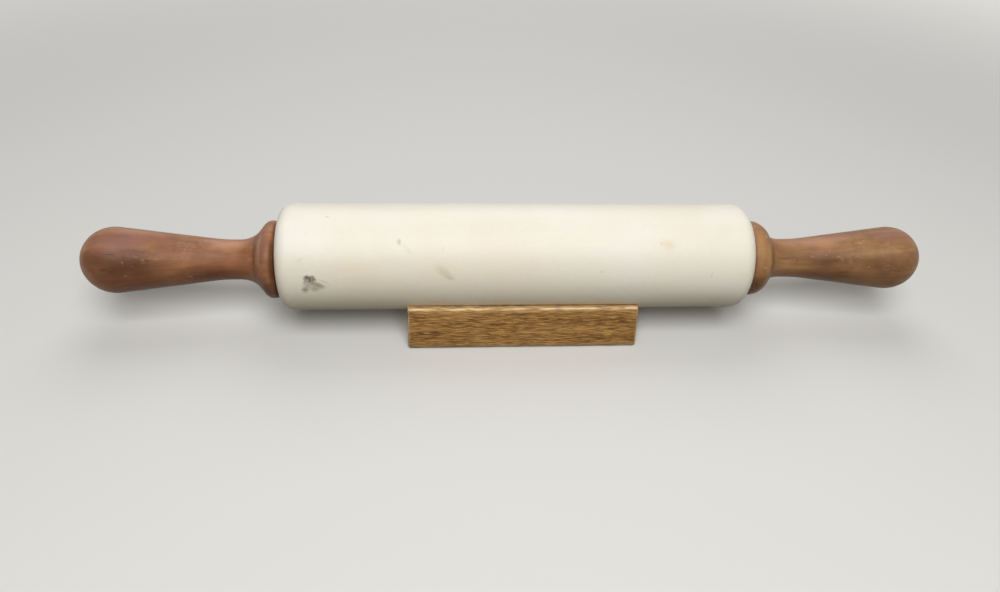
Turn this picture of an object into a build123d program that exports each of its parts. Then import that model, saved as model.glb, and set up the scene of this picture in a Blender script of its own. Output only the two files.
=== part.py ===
"""Marble rolling pin lying in its oak cradle, as separate pieces.

The pin lies along X. The origin is on the surface that the cradle stands on,
below the middle of the marble barrel. +Z is up and +Y points to the back.
"""

import os
from math import acos, atan2, cos, degrees, hypot, radians, sin, sqrt, tan

from build123d import *

# Marble barrel
barrel_length = 254.0
barrel_radius = 29.0
barrel_edge_radius = 7.0
bore_bevel = 0.8

# Oak cradle
cradle_length = 125.5
cradle_shift = 3.0
floor_under_groove = 8.2
groove_depth = 15.0
groove_clearance = 0.3
groove_land = 2.9
foot_spread = 6.4
cradle_edge_radius = 1.6
edge_to_land_share = 0.6

# Steel axle rod, and the play that lets it lie low in its bushes
axle_radius = 4.0
axle_drop = 1.8
running_clearance = 0.05
thread_radius = 3.0
thread_length = 18.0
thread_clearance = 0.03
thread_bevel = 0.6
relief_length = 1.5
relief_depth = 0.5

# Nylon bushes, pressed into the ends of the marble
bush_wall = 3.0
bush_length = 22.0
bush_flange_width = 4.0
bush_flange_thickness = 0.8
bush_lead_in = 0.8
press_clearance = 0.02
marble_bore_margin = 1.0
seat_depth_margin = 0.5

# Steel thrust washers
washer_width = 6.0
washer_thickness = 0.6
washer_clearance = 0.15
end_float = 0.2

# Brass threaded inserts in the handles
insert_wall = 3.2
insert_end_margin = 2.0
insert_flange_width = 2.2
insert_flange_thickness = 1.2
insert_clearance = 0.03
driver_slot_width = 1.4
driver_slot_depth = 0.9
pilot_margin = 4.0

# Turned handles: the profile runs outwards from the collar's flat face
handle_length = 103.1
collar_radius = 21.0
collar_rim_radius = 2.4
collar_rim_width = 0.9
neck_radius = 10.8
neck_width = 3.5
neck_hollow_share = 1.28
grip_end_radius = 17.7

# The two collars were cut by hand: the left one has the smaller dome and the longer slope
left_dome_radius = 4.2
left_fall_degrees = 50.0
left_cove_share = 0.435
left_cove_degrees = 41.0
right_dome_radius = 10.0
right_fall_degrees = 64.0
right_cove_share = 0.575
right_cove_degrees = 35.0

# Sizes and places of the bearing pieces that follow from those above
barrel_half = barrel_length / 2
barrel_height = floor_under_groove + groove_clearance + barrel_radius
axle_height = barrel_height - axle_drop
bush_bore_radius = axle_radius + axle_drop + running_clearance
bush_radius = bush_bore_radius + bush_wall
bush_flange_radius = bush_radius + bush_flange_width
marble_bore_radius = bush_bore_radius + marble_bore_margin
bush_seat_radius = bush_radius + press_clearance
bush_seat_depth = bush_length + seat_depth_margin
washer_place = barrel_half + bush_flange_thickness + end_float
washer_bore_radius = axle_radius + washer_clearance
washer_radius = washer_bore_radius + washer_width
handle_place = washer_place + washer_thickness
insert_length = thread_length + insert_end_margin
insert_bore_radius = thread_radius + thread_clearance
insert_radius = insert_bore_radius + insert_wall
insert_flange_radius = insert_radius + insert_flange_width

# Outline of the cradle's end: the groove is round about the barrel's centre line
cradle_height = floor_under_groove + groove_depth
groove_radius = barrel_radius + groove_clearance
groove_half_width = sqrt(groove_radius**2 - (groove_radius - groove_depth) ** 2)
top_half_depth = groove_half_width + groove_land
foot_half_depth = top_half_depth + foot_spread

# Places along a handle that both handles share
collar_crest = collar_rim_radius + collar_rim_width
grip_centre = handle_length - grip_end_radius
tip_middle = (grip_centre + grip_end_radius * sin(radians(45)), grip_end_radius * cos(radians(45)))

# Sections across the pin, looking along +X
barrel_section = Plane((0, 0, barrel_height), x_dir=(0, 1, 0), z_dir=(1, 0, 0))
axle_section = Plane((0, 0, axle_height), x_dir=(0, 1, 0), z_dir=(1, 0, 0))
axle_line = Axis((0, 0, axle_height), (1, 0, 0))

os.makedirs("parts", exist_ok=True)

# Cradle: a block with leaning sides and a round groove along its top
with BuildPart() as cradle:
    with BuildSketch(Plane.YZ.offset(cradle_shift - cradle_length / 2)):
        with BuildLine():
            Polyline(
                (-groove_half_width, cradle_height),
                (-top_half_depth, cradle_height),
                (-foot_half_depth, 0),
                (foot_half_depth, 0),
                (top_half_depth, cradle_height),
                (groove_half_width, cradle_height),
            )
            ThreePointArc(
                (groove_half_width, cradle_height),
                (0, floor_under_groove),
                (-groove_half_width, cradle_height),
            )
        make_face()
    extrude(amount=cradle_length)
    top_edges = cradle.edges().filter_by(Axis.X).group_by(Axis.Z)[-1].sort_by(Axis.Y)
    groove_lips = top_edges[1:3]
    arrises = cradle.edges().filter_by(GeomType.LINE) - groove_lips
    fillet(arrises, radius=min(cradle_edge_radius, edge_to_land_share * groove_land))
cradle.part.label = "cradle"
export_step(cradle.part, "parts/cradle.step")

# Barrel: the marble, bored through, with a seat for a bush at each end
with BuildPart() as barrel:
    with BuildSketch(barrel_section.offset(-barrel_half)):
        Circle(barrel_radius)
    extrude(amount=barrel_length)
    fillet(barrel.edges().filter_by(GeomType.CIRCLE), radius=barrel_edge_radius)
    for direction in (-1, 1):
        end_face = Plane((direction * barrel_half, 0, barrel_height), x_dir=(0, 1, 0), z_dir=(direction, 0, 0))
        with Locations(end_face):
            CounterBoreHole(
                radius=marble_bore_radius,
                counter_bore_radius=bush_seat_radius,
                counter_bore_depth=bush_seat_depth,
                depth=barrel_length,
            )
    end_faces = barrel.faces().sort_by(Axis.X)
    seat_rims = end_faces[0].inner_wires().edges() + end_faces[-1].inner_wires().edges()
    chamfer(seat_rims, length=bore_bevel)
barrel.part.label = "barrel"
export_step(barrel.part, "parts/barrel.step")

# Axle rod: the handles screw home against the shoulders at its ends
with BuildPart() as axle_rod:
    with BuildSketch(axle_section.offset(-handle_place)):
        Circle(axle_radius)
    extrude(amount=2 * handle_place)
    for direction in (-1, 1):
        shoulder = Plane((direction * handle_place, 0, axle_height), x_dir=(0, 1, 0), z_dir=(direction, 0, 0))
        with BuildSketch(shoulder):
            Circle(thread_radius)
        extrude(amount=thread_length)
        with BuildSketch(shoulder):
            Circle(thread_radius)
            Circle(thread_radius - relief_depth, mode=Mode.SUBTRACT)
        extrude(amount=relief_length, mode=Mode.SUBTRACT)
    tips = axle_rod.faces().sort_by(Axis.X)
    chamfer(tips[0].edges() + tips[-1].edges(), length=thread_bevel)
axle_rod.part.label = "axle_rod"
export_step(axle_rod.part, "parts/axle_rod.step")

# The same four pieces at each end of the pin
for side, direction, dome_radius, fall_degrees, cove_share, cove_degrees in (
    ("left", -1, left_dome_radius, left_fall_degrees, left_cove_share, left_cove_degrees),
    ("right", 1, right_dome_radius, right_fall_degrees, right_cove_share, right_cove_degrees),
):
    outward = (direction, 0, 0)
    inward = (-direction, 0, 0)
    barrel_face = Plane((direction * barrel_half, 0, barrel_height), x_dir=(0, 1, 0), z_dir=outward)
    washer_face = Plane((direction * washer_place, 0, axle_height), x_dir=(0, 1, 0), z_dir=outward)
    handle_face = Plane((direction * handle_place, 0, axle_height), x_dir=(0, 1, 0), z_dir=outward)
    handle_mouth = Plane(handle_face.origin, x_dir=(0, 1, 0), z_dir=inward)
    handle_profile = Plane(handle_face.origin, x_dir=outward, z_dir=(0, -direction, 0))

    # Bush: a sleeve in the marble with a thin flange on the marble's end face
    with BuildPart() as bush:
        with BuildSketch(barrel_face):
            Circle(bush_radius)
        extrude(amount=-bush_length)
        inner_rim = bush.faces().sort_by(Axis(barrel_face.origin, inward))[-1].edges()
        chamfer(inner_rim, length=bush_lead_in)
        with BuildSketch(barrel_face):
            Circle(bush_flange_radius)
        extrude(amount=bush_flange_thickness)
        with BuildSketch(barrel_face.offset(bush_flange_thickness)):
            Circle(bush_bore_radius)
        extrude(amount=-(bush_length + bush_flange_thickness), mode=Mode.SUBTRACT)
    bush.part.label = f"{side}_bush"
    export_step(bush.part, f"parts/{side}_bush.step")

    # Thrust washer, on the rod between the bush and the handle
    with BuildPart() as washer:
        with BuildSketch(washer_face):
            Circle(washer_radius)
            Circle(washer_bore_radius, mode=Mode.SUBTRACT)
        extrude(amount=washer_thickness)
    washer.part.label = f"{side}_washer"
    export_step(washer.part, f"parts/{side}_washer.step")

    # Threaded insert, flush with the collar's face, with a slot for its driver
    with BuildPart() as insert:
        with BuildSketch(handle_face):
            Circle(insert_radius)
        extrude(amount=insert_length)
        with BuildSketch(handle_face):
            Circle(insert_flange_radius)
        extrude(amount=insert_flange_thickness)
        with BuildSketch(handle_face):
            Circle(insert_bore_radius)
        extrude(amount=insert_length, mode=Mode.SUBTRACT)
        with BuildSketch(handle_face):
            Rectangle(2 * insert_flange_radius, driver_slot_width)
        extrude(amount=driver_slot_depth, mode=Mode.SUBTRACT)
    insert.part.label = f"{side}_insert"
    export_step(insert.part, f"parts/{side}_insert.step")

    # Outline of the handle: the collar's dome falls in a straight slope to a crease, where the flatter
    # cove begins. The cove takes its share of the height from the neck up to the slope's start.
    fall = radians(fall_degrees)
    slope_start_radius = collar_radius - dome_radius * (1 - cos(fall))
    cove_height = cove_share * (slope_start_radius - neck_radius)
    cove_radius = cove_height / (1 - cos(radians(cove_degrees)))
    crease_radius = neck_radius + cove_height
    slope_run = (slope_start_radius - crease_radius) / tan(fall)
    crease = collar_crest + dome_radius * sin(fall) + slope_run
    cove_end = crease + cove_radius * sin(radians(cove_degrees))
    neck_end = cove_end + neck_width

    # The grip rises from the hollow neck, along the line that touches the neck's arc and the round end
    grip_run = grip_centre - neck_end
    neck_hollow_radius = neck_hollow_share * grip_run
    neck_hollow_height = neck_radius + neck_hollow_radius
    centre_distance = hypot(grip_run, neck_hollow_height)
    rise = atan2(grip_run, neck_hollow_height) - acos((neck_hollow_radius + grip_end_radius) / centre_distance)
    taper_end = (grip_centre - grip_end_radius * sin(rise), grip_end_radius * cos(rise))

    # Handle: collar, cove, hollow neck, tapered grip and round end in one turning
    with BuildPart() as handle:
        with BuildSketch(handle_profile):
            with BuildLine():
                flat = Line((0, 0), (0, collar_radius - collar_rim_radius))
                rim = JernArc(flat @ 1, (0, 1), collar_rim_radius, -90)
                crest = Line(rim @ 1, (collar_crest, collar_radius))
                dome = JernArc(crest @ 1, (1, 0), dome_radius, -fall_degrees)
                slope = Line(dome @ 1, (crease, crease_radius))
                cove_start = (cos(radians(cove_degrees)), -sin(radians(cove_degrees)))
                cove = JernArc(slope @ 1, cove_start, cove_radius, cove_degrees)
                neck = Line(cove @ 1, (neck_end, neck_radius))
                hollow = JernArc(neck @ 1, (1, 0), neck_hollow_radius, degrees(rise))
                taper = Line(hollow @ 1, taper_end)
                ThreePointArc(taper @ 1, tip_middle, (handle_length, 0))
                Line((handle_length, 0), (0, 0))
            make_face()
        revolve(axis=axle_line)
        with Locations(handle_mouth):
            CounterBoreHole(
                radius=insert_radius + insert_clearance,
                counter_bore_radius=insert_flange_radius + insert_clearance,
                counter_bore_depth=insert_flange_thickness,
                depth=insert_length + pilot_margin,
            )
    handle.part.label = f"{side}_handle"
    export_step(handle.part, f"parts/{side}_handle.step")
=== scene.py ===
"""Dressed model of a marble rolling pin that lies in its oak cradle.

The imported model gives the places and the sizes. This script adds what shows: the honed marble with its
natural marks, the two turned mahogany handles, the oiled oak cradle, the finish of the axle's fittings, and
a plain stage. The pin lies along X, its front faces -Y, and +Z is up. All lengths are in metres.
"""

import math

import bmesh
import bpy
from bpy.props import FloatProperty, FloatVectorProperty, IntProperty, PointerProperty
from mathutils import Matrix, Vector, noise


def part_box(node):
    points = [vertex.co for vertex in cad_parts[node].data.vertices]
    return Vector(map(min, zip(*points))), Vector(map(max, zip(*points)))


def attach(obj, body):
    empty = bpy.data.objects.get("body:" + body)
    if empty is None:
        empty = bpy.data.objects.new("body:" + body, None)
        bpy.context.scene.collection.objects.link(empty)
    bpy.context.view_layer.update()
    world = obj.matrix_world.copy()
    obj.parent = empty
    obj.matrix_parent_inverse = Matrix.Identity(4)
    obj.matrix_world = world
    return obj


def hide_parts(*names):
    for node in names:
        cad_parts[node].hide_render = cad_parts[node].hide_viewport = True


bl_info = {
    "name": "Marble Rolling Pin",
    "version": (1, 0, 0),
    "blender": (4, 5, 0),
    "location": "View3D > Sidebar > Rolling Pin",
    "description": "Dresses a marble rolling pin and its oak cradle, and sets up a stage for them",
    "category": "Mesh",
}

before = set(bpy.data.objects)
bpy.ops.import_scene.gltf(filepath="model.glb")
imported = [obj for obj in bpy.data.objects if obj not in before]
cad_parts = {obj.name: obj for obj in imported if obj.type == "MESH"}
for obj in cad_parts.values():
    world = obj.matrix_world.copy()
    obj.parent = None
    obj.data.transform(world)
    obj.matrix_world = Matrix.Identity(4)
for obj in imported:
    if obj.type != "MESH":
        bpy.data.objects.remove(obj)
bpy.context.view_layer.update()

MM = 0.001
FULL_TURN = 2 * math.pi

# Longest steps of an outline: in a bore, in a handle's socket, on flat faces, and on round and tight ones
BORE_STEP = 6 * MM
SOCKET_STEP = 3 * MM
FLAT_STEP = 1.6 * MM
ROUND_STEP = 0.8 * MM
TIGHT_STEP = 0.6 * MM

# Fewest cuts of an arc, cuts along half of the cradle, and the distance within which points are welded
ARC_CUTS = 6
CRADLE_CUTS = 36
WELD = 0.002 * MM

# An edge past the first angle stays crisp, and one past the second belongs to a folded face
SMOOTH_ANGLE = math.radians(32)
FOLD_ANGLE = math.radians(150)

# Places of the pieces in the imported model
BARREL_LOW, BARREL_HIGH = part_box("barrel")
HANDLE_LOW, HANDLE_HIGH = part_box("right_handle")
CRADLE_LOW, CRADLE_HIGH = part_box("cradle")
BARREL_HEIGHT = (BARREL_LOW.z + BARREL_HIGH.z) / 2
AXLE_HEIGHT = (HANDLE_LOW.z + HANDLE_HIGH.z) / 2
HANDLE_PLACE = HANDLE_LOW.x

# The camera was fitted to the barrel and the cradle
SENSOR_WIDTH = 36
CAMERA_PLACE = Vector((-41.85, -335.54, 281.28)) * MM
CLIP_START = 10 * MM

# The lamps stand round the pin, and the floor fades out into the world between two distances from it
FRONT = -1
BACK = 1
LAMP_DISTANCE = 1.2
LAMP_SIZE = 0.9
FLOOR_HALF_WIDTH = 3.0
FLOOR_HEIGHT = -0.02 * MM
FLOOR_FADE_START = 0.4
FLOOR_FADE_END = 1.1

# Places of the colour inputs and of the colour output of a Mix node, and the middle of what a noise gives
BELOW = 6
ABOVE = 7
BLENDED = 2
NOISE_MIDDLE = 0.5


def linear(code):
    """Turns an sRGB hex colour into the linear colour that the shaders use."""
    shares = [int(code[i : i + 2], 16) / 255 for i in (1, 3, 5)]
    return tuple(s / 12.92 if s <= 0.04045 else ((s + 0.055) / 1.055) ** 2.4 for s in shares)


def colour(name, description, code):
    """A colour that a user can change, given as sRGB hex."""
    return FloatVectorProperty(
        name=name, description=description, subtype="COLOR", size=3, min=0, max=1, default=linear(code)
    )


def length(name, description, default):
    """A length that a user can change, in metres."""
    return FloatProperty(
        name=name, description=description, unit="LENGTH", precision=5, min=0, default=default
    )


def angle(name, description, degrees):
    """An angle that a user can change, given in degrees."""
    return FloatProperty(name=name, description=description, unit="ROTATION", default=math.radians(degrees))


def share(name, description, default):
    """A share between 0 and 1 that a user can change."""
    return FloatProperty(name=name, description=description, min=0, max=1, default=default)


def power(name, description, default):
    """The power of a lamp that a user can change, in watts."""
    return FloatProperty(name=name, description=description, unit="POWER", min=0, default=default)


class RollingPinBarrel(bpy.types.PropertyGroup):
    """Sizes and colours of the marble barrel."""

    length: length("Length", "Length of the marble", BARREL_HIGH.x - BARREL_LOW.x)
    radius: length("Radius", "Radius of the marble", (BARREL_HIGH.z - BARREL_LOW.z) / 2)
    edge_radius: length("Edge Radius", "Rounding of the end edges", 7 * MM)
    bore_radius: length("Bore Radius", "Bore that the axle rod passes through", 6.85 * MM)
    seat_radius: length("Seat Radius", "Seat of a bush in the marble", 8.87 * MM)
    seat_depth: length("Seat Depth", "Depth of a bush's seat", 22.5 * MM)
    seat_bevel: length("Seat Bevel", "Bevel at the mouth of a seat", 0.8 * MM)
    segments: IntProperty(name="Segments", description="Facets round the barrel", min=24, default=224)
    cream: colour("Cream", "Main colour of the marble", "#F5EDDD")
    milk: colour("Milk", "Whiter clouds in the marble", "#F8F4EA")
    sand: colour("Sand", "Warm veils in the marble", "#EEE3CC")
    graphite: colour("Graphite", "Dark mineral grains", "#3C3222")
    ash: colour("Ash", "Grey smears beside the grains", "#8A7F6E")
    tan: colour("Tan", "Tan stains", "#B8A87A")
    honey: colour("Honey", "Yellow stains", "#E5C98C")


class RollingPinHandles(bpy.types.PropertyGroup):
    """Sizes and colours of the two turned handles."""

    length: length("Length", "From the collar's flat face to the tip", HANDLE_HIGH.x - HANDLE_LOW.x)
    collar_radius: length(
        "Collar Radius", "Largest radius of the collar", (HANDLE_HIGH.z - HANDLE_LOW.z) / 2
    )
    rim_radius: length("Rim Radius", "Rounding of the collar's inner rim", 2.4 * MM)
    rim_width: length("Rim Width", "Straight band along the collar's crest", 0.9 * MM)
    left_dome_radius: length("Left Dome Radius", "Radius of the left collar's dome", 4.2 * MM)
    left_fall: angle("Left Fall", "Angle at which the left dome ends in its straight slope", 50)
    left_cove_share: share(
        "Left Cove Share", "Height of the left cove, of the way up to the slope's start", 0.435
    )
    left_cove: angle("Left Cove", "Angle at which the left cove starts at the crease", 41)
    right_dome_radius: length("Right Dome Radius", "Radius of the right collar's dome", 10 * MM)
    right_fall: angle("Right Fall", "Angle at which the right dome ends in its straight slope", 64)
    right_cove_share: share(
        "Right Cove Share", "Height of the right cove, of the way up to the slope's start", 0.575
    )
    right_cove: angle("Right Cove", "Angle at which the right cove starts at the crease", 35)
    neck_radius: length("Neck Radius", "Smallest radius of the neck", 10.8 * MM)
    neck_width: length("Neck Width", "Straight length of the neck", 3.5 * MM)
    hollow_share: FloatProperty(
        name="Hollow Share",
        description="Radius of the neck's hollow for each unit of grip",
        min=1,
        default=1.28,
    )
    end_radius: length("End Radius", "Radius of the round end", 17.7 * MM)
    seat_radius: length("Seat Radius", "Seat of the insert's flange", 8.46 * MM)
    seat_depth: length("Seat Depth", "Depth of the flange's seat", 1.2 * MM)
    pilot_radius: length("Pilot Radius", "Hole that holds the insert", 6.26 * MM)
    pilot_depth: length("Pilot Depth", "Depth of the hole from the collar's face", 24 * MM)
    segments: IntProperty(name="Segments", description="Facets round a handle", min=24, default=176)
    left_light: colour("Left Light", "Pale stripes of the left handle", "#A87852")
    left_dark: colour("Left Dark", "Dark stripes of the left handle", "#845538")
    left_cast: colour("Left Cast", "Reddish stripes of the left handle", "#925C43")
    right_light: colour("Right Light", "Pale stripes of the right handle", "#A87F56")
    right_dark: colour("Right Dark", "Dark stripes of the right handle", "#86603A")
    right_cast: colour("Right Cast", "Reddish stripes of the right handle", "#966647")
    pore: colour("Pore", "Open pores of the wood", "#4A2C1C")
    fleck: colour("Fleck", "Pale nicks and scratches", "#CDA27E")
    # This colour is darker heartwood, and also painted shade under the handles, by the marble and in the
    # crease
    umber_and_shade: colour("Umber And Shade", "Darker heartwood", "#583520")
    # This colour is purplish wood, and on the tops of the handles also a painted sheen
    rose_and_sheen: colour("Rose And Sheen", "Purplish patches", "#93695F")
    # This colour is a painted pink highlight along the tops of the handles
    pink_highlight: colour("Pink Highlight", "Pale pinkish patches", "#CF9C84")
    gold: colour("Gold", "Golden patches", "#BC9160")


class RollingPinCradle(bpy.types.PropertyGroup):
    """Sizes and colours of the oak cradle."""

    length: length("Length", "Length of the block", CRADLE_HIGH.x - CRADLE_LOW.x)
    height: length("Height", "Height of the block", CRADLE_HIGH.z - CRADLE_LOW.z)
    foot_depth: length("Foot Depth", "Depth of the block at its foot", CRADLE_HIGH.y - CRADLE_LOW.y)
    foot_spread: length("Foot Spread", "How far a side leans out from top to foot", 6.4 * MM)
    groove_radius: length("Groove Radius", "Radius of the groove", 29.3 * MM)
    arris_radius: length("Arris Radius", "Rounding of the outer arrises", 2 * MM)
    lip_radius: length("Lip Radius", "Rounding where the groove meets the top", 0.4 * MM)
    light: colour("Light", "Late wood of the oak", "#B0834A")
    dark: colour("Dark", "Early wood of the oak", "#8A602C")
    pore: colour("Pore", "Open pores of the oak", "#4C3212")
    # This colour is oak rubbed paler, and on the arrises' crowns also a painted highlight
    worn_and_highlit: colour("Worn And Highlit", "Oak rubbed bright along the arrises", "#F0D2A0")
    ray: colour("Ray", "Pale rays between the pores", "#D2A56A")


class RollingPinFittings(bpy.types.PropertyGroup):
    """Colours of the axle's fittings."""

    steel: colour("Steel", "Turned steel of the rod and the washers", "#B9B7B2")
    brass: colour("Brass", "Turned brass of the inserts", "#C9A45C")
    nylon: colour("Nylon", "Moulded nylon of the bushes", "#E9E4D4")
    aged_nylon: colour("Aged Nylon", "Yellowed parts of the nylon", "#D9CFB4")


class RollingPinStage(bpy.types.PropertyGroup):
    """Camera, lamps, sky and floor."""

    lens: FloatProperty(name="Lens", description="Focal length of the camera", unit="CAMERA", default=27)
    heading: angle("Heading", "Turn of the camera to the right of straight ahead", 5.79)
    dip: angle("Dip", "How far the camera looks down", 38.914)
    roll: angle("Roll", "Roll of the camera to the left", 3.243)
    key_power: power("Key Power", "Power of the high front softbox", 12.4)
    key_rise: angle("Key Rise", "How far the high front softbox stands above the horizon", 58)
    key_colour: colour("Key Colour", "Light of the high front softbox", "#FFFFFF")
    low_power: power("Low Power", "Power of the low front softbox", 1.5)
    low_rise: angle("Low Rise", "How far the low front softbox stands above the horizon", 15)
    low_colour: colour("Low Colour", "Light of the low front softbox", "#FFEDB4")
    back_power: power("Back Power", "Power of the back softbox", 4.4)
    back_rise: angle("Back Rise", "How far the back softbox stands above the horizon behind", 50)
    back_colour: colour("Back Colour", "Light of the back softbox", "#FFFFFF")
    sky: FloatProperty(name="Sky", description="Strength of the even light from all round", default=0.08)
    sky_colour: colour("Sky Colour", "Light from all round, and the colour of the backdrop", "#FFFDF8")
    backdrop: FloatProperty(name="Backdrop", description="How pale the camera sees the world", default=0.8)
    floor: colour("Floor", "Colour of the floor", "#E4E3E0")
    shade: colour("Shade", "What the floor throws back on the object's underside", "#2C2818")


def add_node(tree, kind, inputs=None, **settings):
    """Adds a node, sets its properties, and sets or links its inputs, which are given by name or number."""
    node = tree.nodes.new(kind)
    for name, value in settings.items():
        setattr(node, name, value)
    for place, value in (inputs or {}).items():
        if isinstance(value, bpy.types.NodeSocket):
            tree.links.new(value, node.inputs[place])
        else:
            node.inputs[place].default_value = value
    return node


def solid(shade):
    """A colour of three shares with the fourth that a colour socket needs."""
    return (*shade, 1.0)


class Pen:
    """Draws an outline of straight cuts and tangent arcs. Its points lie no further apart than its step."""

    def __init__(self, x, y, step):
        self.points = [Vector((x, y))]
        self.step = step
        self.heading = 0.0

    def line(self, x, y):
        """Draws straight to a point, and heads that way from then on."""
        start = self.points[-1]
        way = Vector((x, y)) - start
        count = max(1, math.ceil(way.length / self.step))
        self.points += [start + way * (i + 1) / count for i in range(count)]
        self.heading = math.atan2(way.y, way.x)

    def bend(self, radius, turn):
        """Goes on in an arc that turns left by an angle, or right by a negative one."""
        inward = self.heading + math.copysign(math.pi / 2, turn)
        centre = self.points[-1] + radius * Vector((math.cos(inward), math.sin(inward)))
        count = max(ARC_CUTS, math.ceil(radius * abs(turn) / self.step))
        for i in range(count):
            spoke = inward + math.pi + turn * (i + 1) / count
            self.points.append(centre + radius * Vector((math.cos(spoke), math.sin(spoke))))
        self.heading += turn


def barrel_outline(barrel):
    """Half section of the marble, from the middle of its bore round one end and back round the other."""
    half = barrel.length / 2
    pen = Pen(0, barrel.bore_radius, BORE_STEP)
    pen.line(half - barrel.seat_depth, barrel.bore_radius)
    pen.line(half - barrel.seat_depth, barrel.seat_radius)
    pen.line(half - barrel.seat_bevel, barrel.seat_radius)
    pen.line(half, barrel.seat_radius + barrel.seat_bevel)
    pen.step = FLAT_STEP
    pen.line(half, barrel.radius - barrel.edge_radius)
    pen.step = TIGHT_STEP
    pen.bend(barrel.edge_radius, math.pi / 2)
    pen.step = FLAT_STEP
    pen.line(0, barrel.radius)
    return pen.points + [Vector((-p.x, p.y)) for p in reversed(pen.points[:-1])]


def handle_outline(handle, side):
    """Half section of a handle, from its tip round the grip and the collar to the bottom of its pilot hole.

    The collar's dome ends at the fall in a straight slope. The slope ends in a crease, where the cove
    starts, and the crease's distance from the collar's face is returned too.
    """
    dome_radius = getattr(handle, f"{side}_dome_radius")
    fall = getattr(handle, f"{side}_fall")
    cove_share = getattr(handle, f"{side}_cove_share")
    cove_angle = getattr(handle, f"{side}_cove")
    crest = handle.rim_radius + handle.rim_width
    slope_start_radius = handle.collar_radius - dome_radius * (1 - math.cos(fall))
    cove_height = cove_share * (slope_start_radius - handle.neck_radius)
    cove_radius = cove_height / (1 - math.cos(cove_angle))
    crease_radius = handle.neck_radius + cove_height
    slope_run = (slope_start_radius - crease_radius) / math.tan(fall)
    crease = crest + dome_radius * math.sin(fall) + slope_run
    neck_end = crease + cove_radius * math.sin(cove_angle) + handle.neck_width

    # The grip follows the line that touches the neck's hollow and the round end
    end_centre = handle.length - handle.end_radius
    run = end_centre - neck_end
    hollow_radius = handle.hollow_share * run
    hollow_height = handle.neck_radius + hollow_radius
    rise = math.atan2(run, hollow_height)
    rise -= math.acos((hollow_radius + handle.end_radius) / math.hypot(run, hollow_height))

    pen = Pen(handle.pilot_depth, 0, SOCKET_STEP)
    pen.line(handle.pilot_depth, handle.pilot_radius)
    pen.line(handle.seat_depth, handle.pilot_radius)
    pen.line(handle.seat_depth, handle.seat_radius)
    pen.line(0, handle.seat_radius)
    pen.step = ROUND_STEP
    pen.line(0, handle.collar_radius - handle.rim_radius)
    pen.bend(handle.rim_radius, -math.pi / 2)
    pen.line(crest, handle.collar_radius)
    pen.bend(dome_radius, -fall)
    pen.line(crease, crease_radius)
    pen.heading = -cove_angle
    pen.bend(cove_radius, cove_angle)
    pen.line(neck_end, handle.neck_radius)
    pen.bend(hollow_radius, rise)
    pen.line(end_centre - handle.end_radius * math.sin(rise), handle.end_radius * math.cos(rise))
    pen.bend(handle.end_radius, -math.pi / 2 - rise)
    pen.points[-1].y = 0
    return pen.points[::-1], crease


# The name of the lathe's tree, and how far from a bore the marks of hand work are there in full. Nearer to
# the bores they fade out, because other pieces fit there.
LATHE = "Turn on the Lathe"
BORE_FADE = 3 * MM


def lathe_tree():
    """Builds the tree that turns a half section into a round piece, as a lathe does.

    It spins the half section, gives the skin the marks of hand work, keeps the edges crisp, and puts the
    piece in its place.
    """
    tree = bpy.data.node_groups.new(LATHE, "GeometryNodeTree")
    for title, kind, default in (
        ("Half Section", "NodeSocketGeometry", None),
        ("Segments", "NodeSocketInt", 96),
        ("Smooth Angle", "NodeSocketFloat", SMOOTH_ANGLE),
        ("Bore Radius", "NodeSocketFloat", 0.0),
        ("Wander Depth", "NodeSocketFloat", 0.0),
        ("Wander Size", "NodeSocketFloat", 30 * MM),
        ("Tool Ring Depth", "NodeSocketFloat", 0.0),
        ("Tool Ring Pitch", "NodeSocketFloat", 2 * MM),
        ("Seed", "NodeSocketInt", 0),
        ("Place", "NodeSocketVector", None),
        ("Turn Round", "NodeSocketVector", None),
        ("Material", "NodeSocketMaterial", None),
    ):
        socket = tree.interface.new_socket(name=title, in_out="INPUT", socket_type=kind)
        if default is not None:
            socket.default_value = default
    tree.interface.new_socket(name="Turned Piece", in_out="OUTPUT", socket_type="NodeSocketGeometry")
    given = add_node(tree, "NodeGroupInput").outputs
    skin = spun_skin(tree, given)
    skin = hand_worked(tree, given, skin)
    skin = crisp_edges(tree, given, skin)
    skin = add_node(
        tree,
        "GeometryNodeTransform",
        {"Geometry": skin, "Translation": given["Place"], "Rotation": given["Turn Round"]},
    ).outputs[0]
    skin = add_node(tree, "GeometryNodeRealizeInstances", {"Geometry": skin}).outputs[0]
    skin = add_node(
        tree, "GeometryNodeSetMaterial", {"Geometry": skin, "Material": given["Material"]}
    ).outputs[0]
    add_node(tree, "NodeGroupOutput", {0: skin})
    return tree


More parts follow.
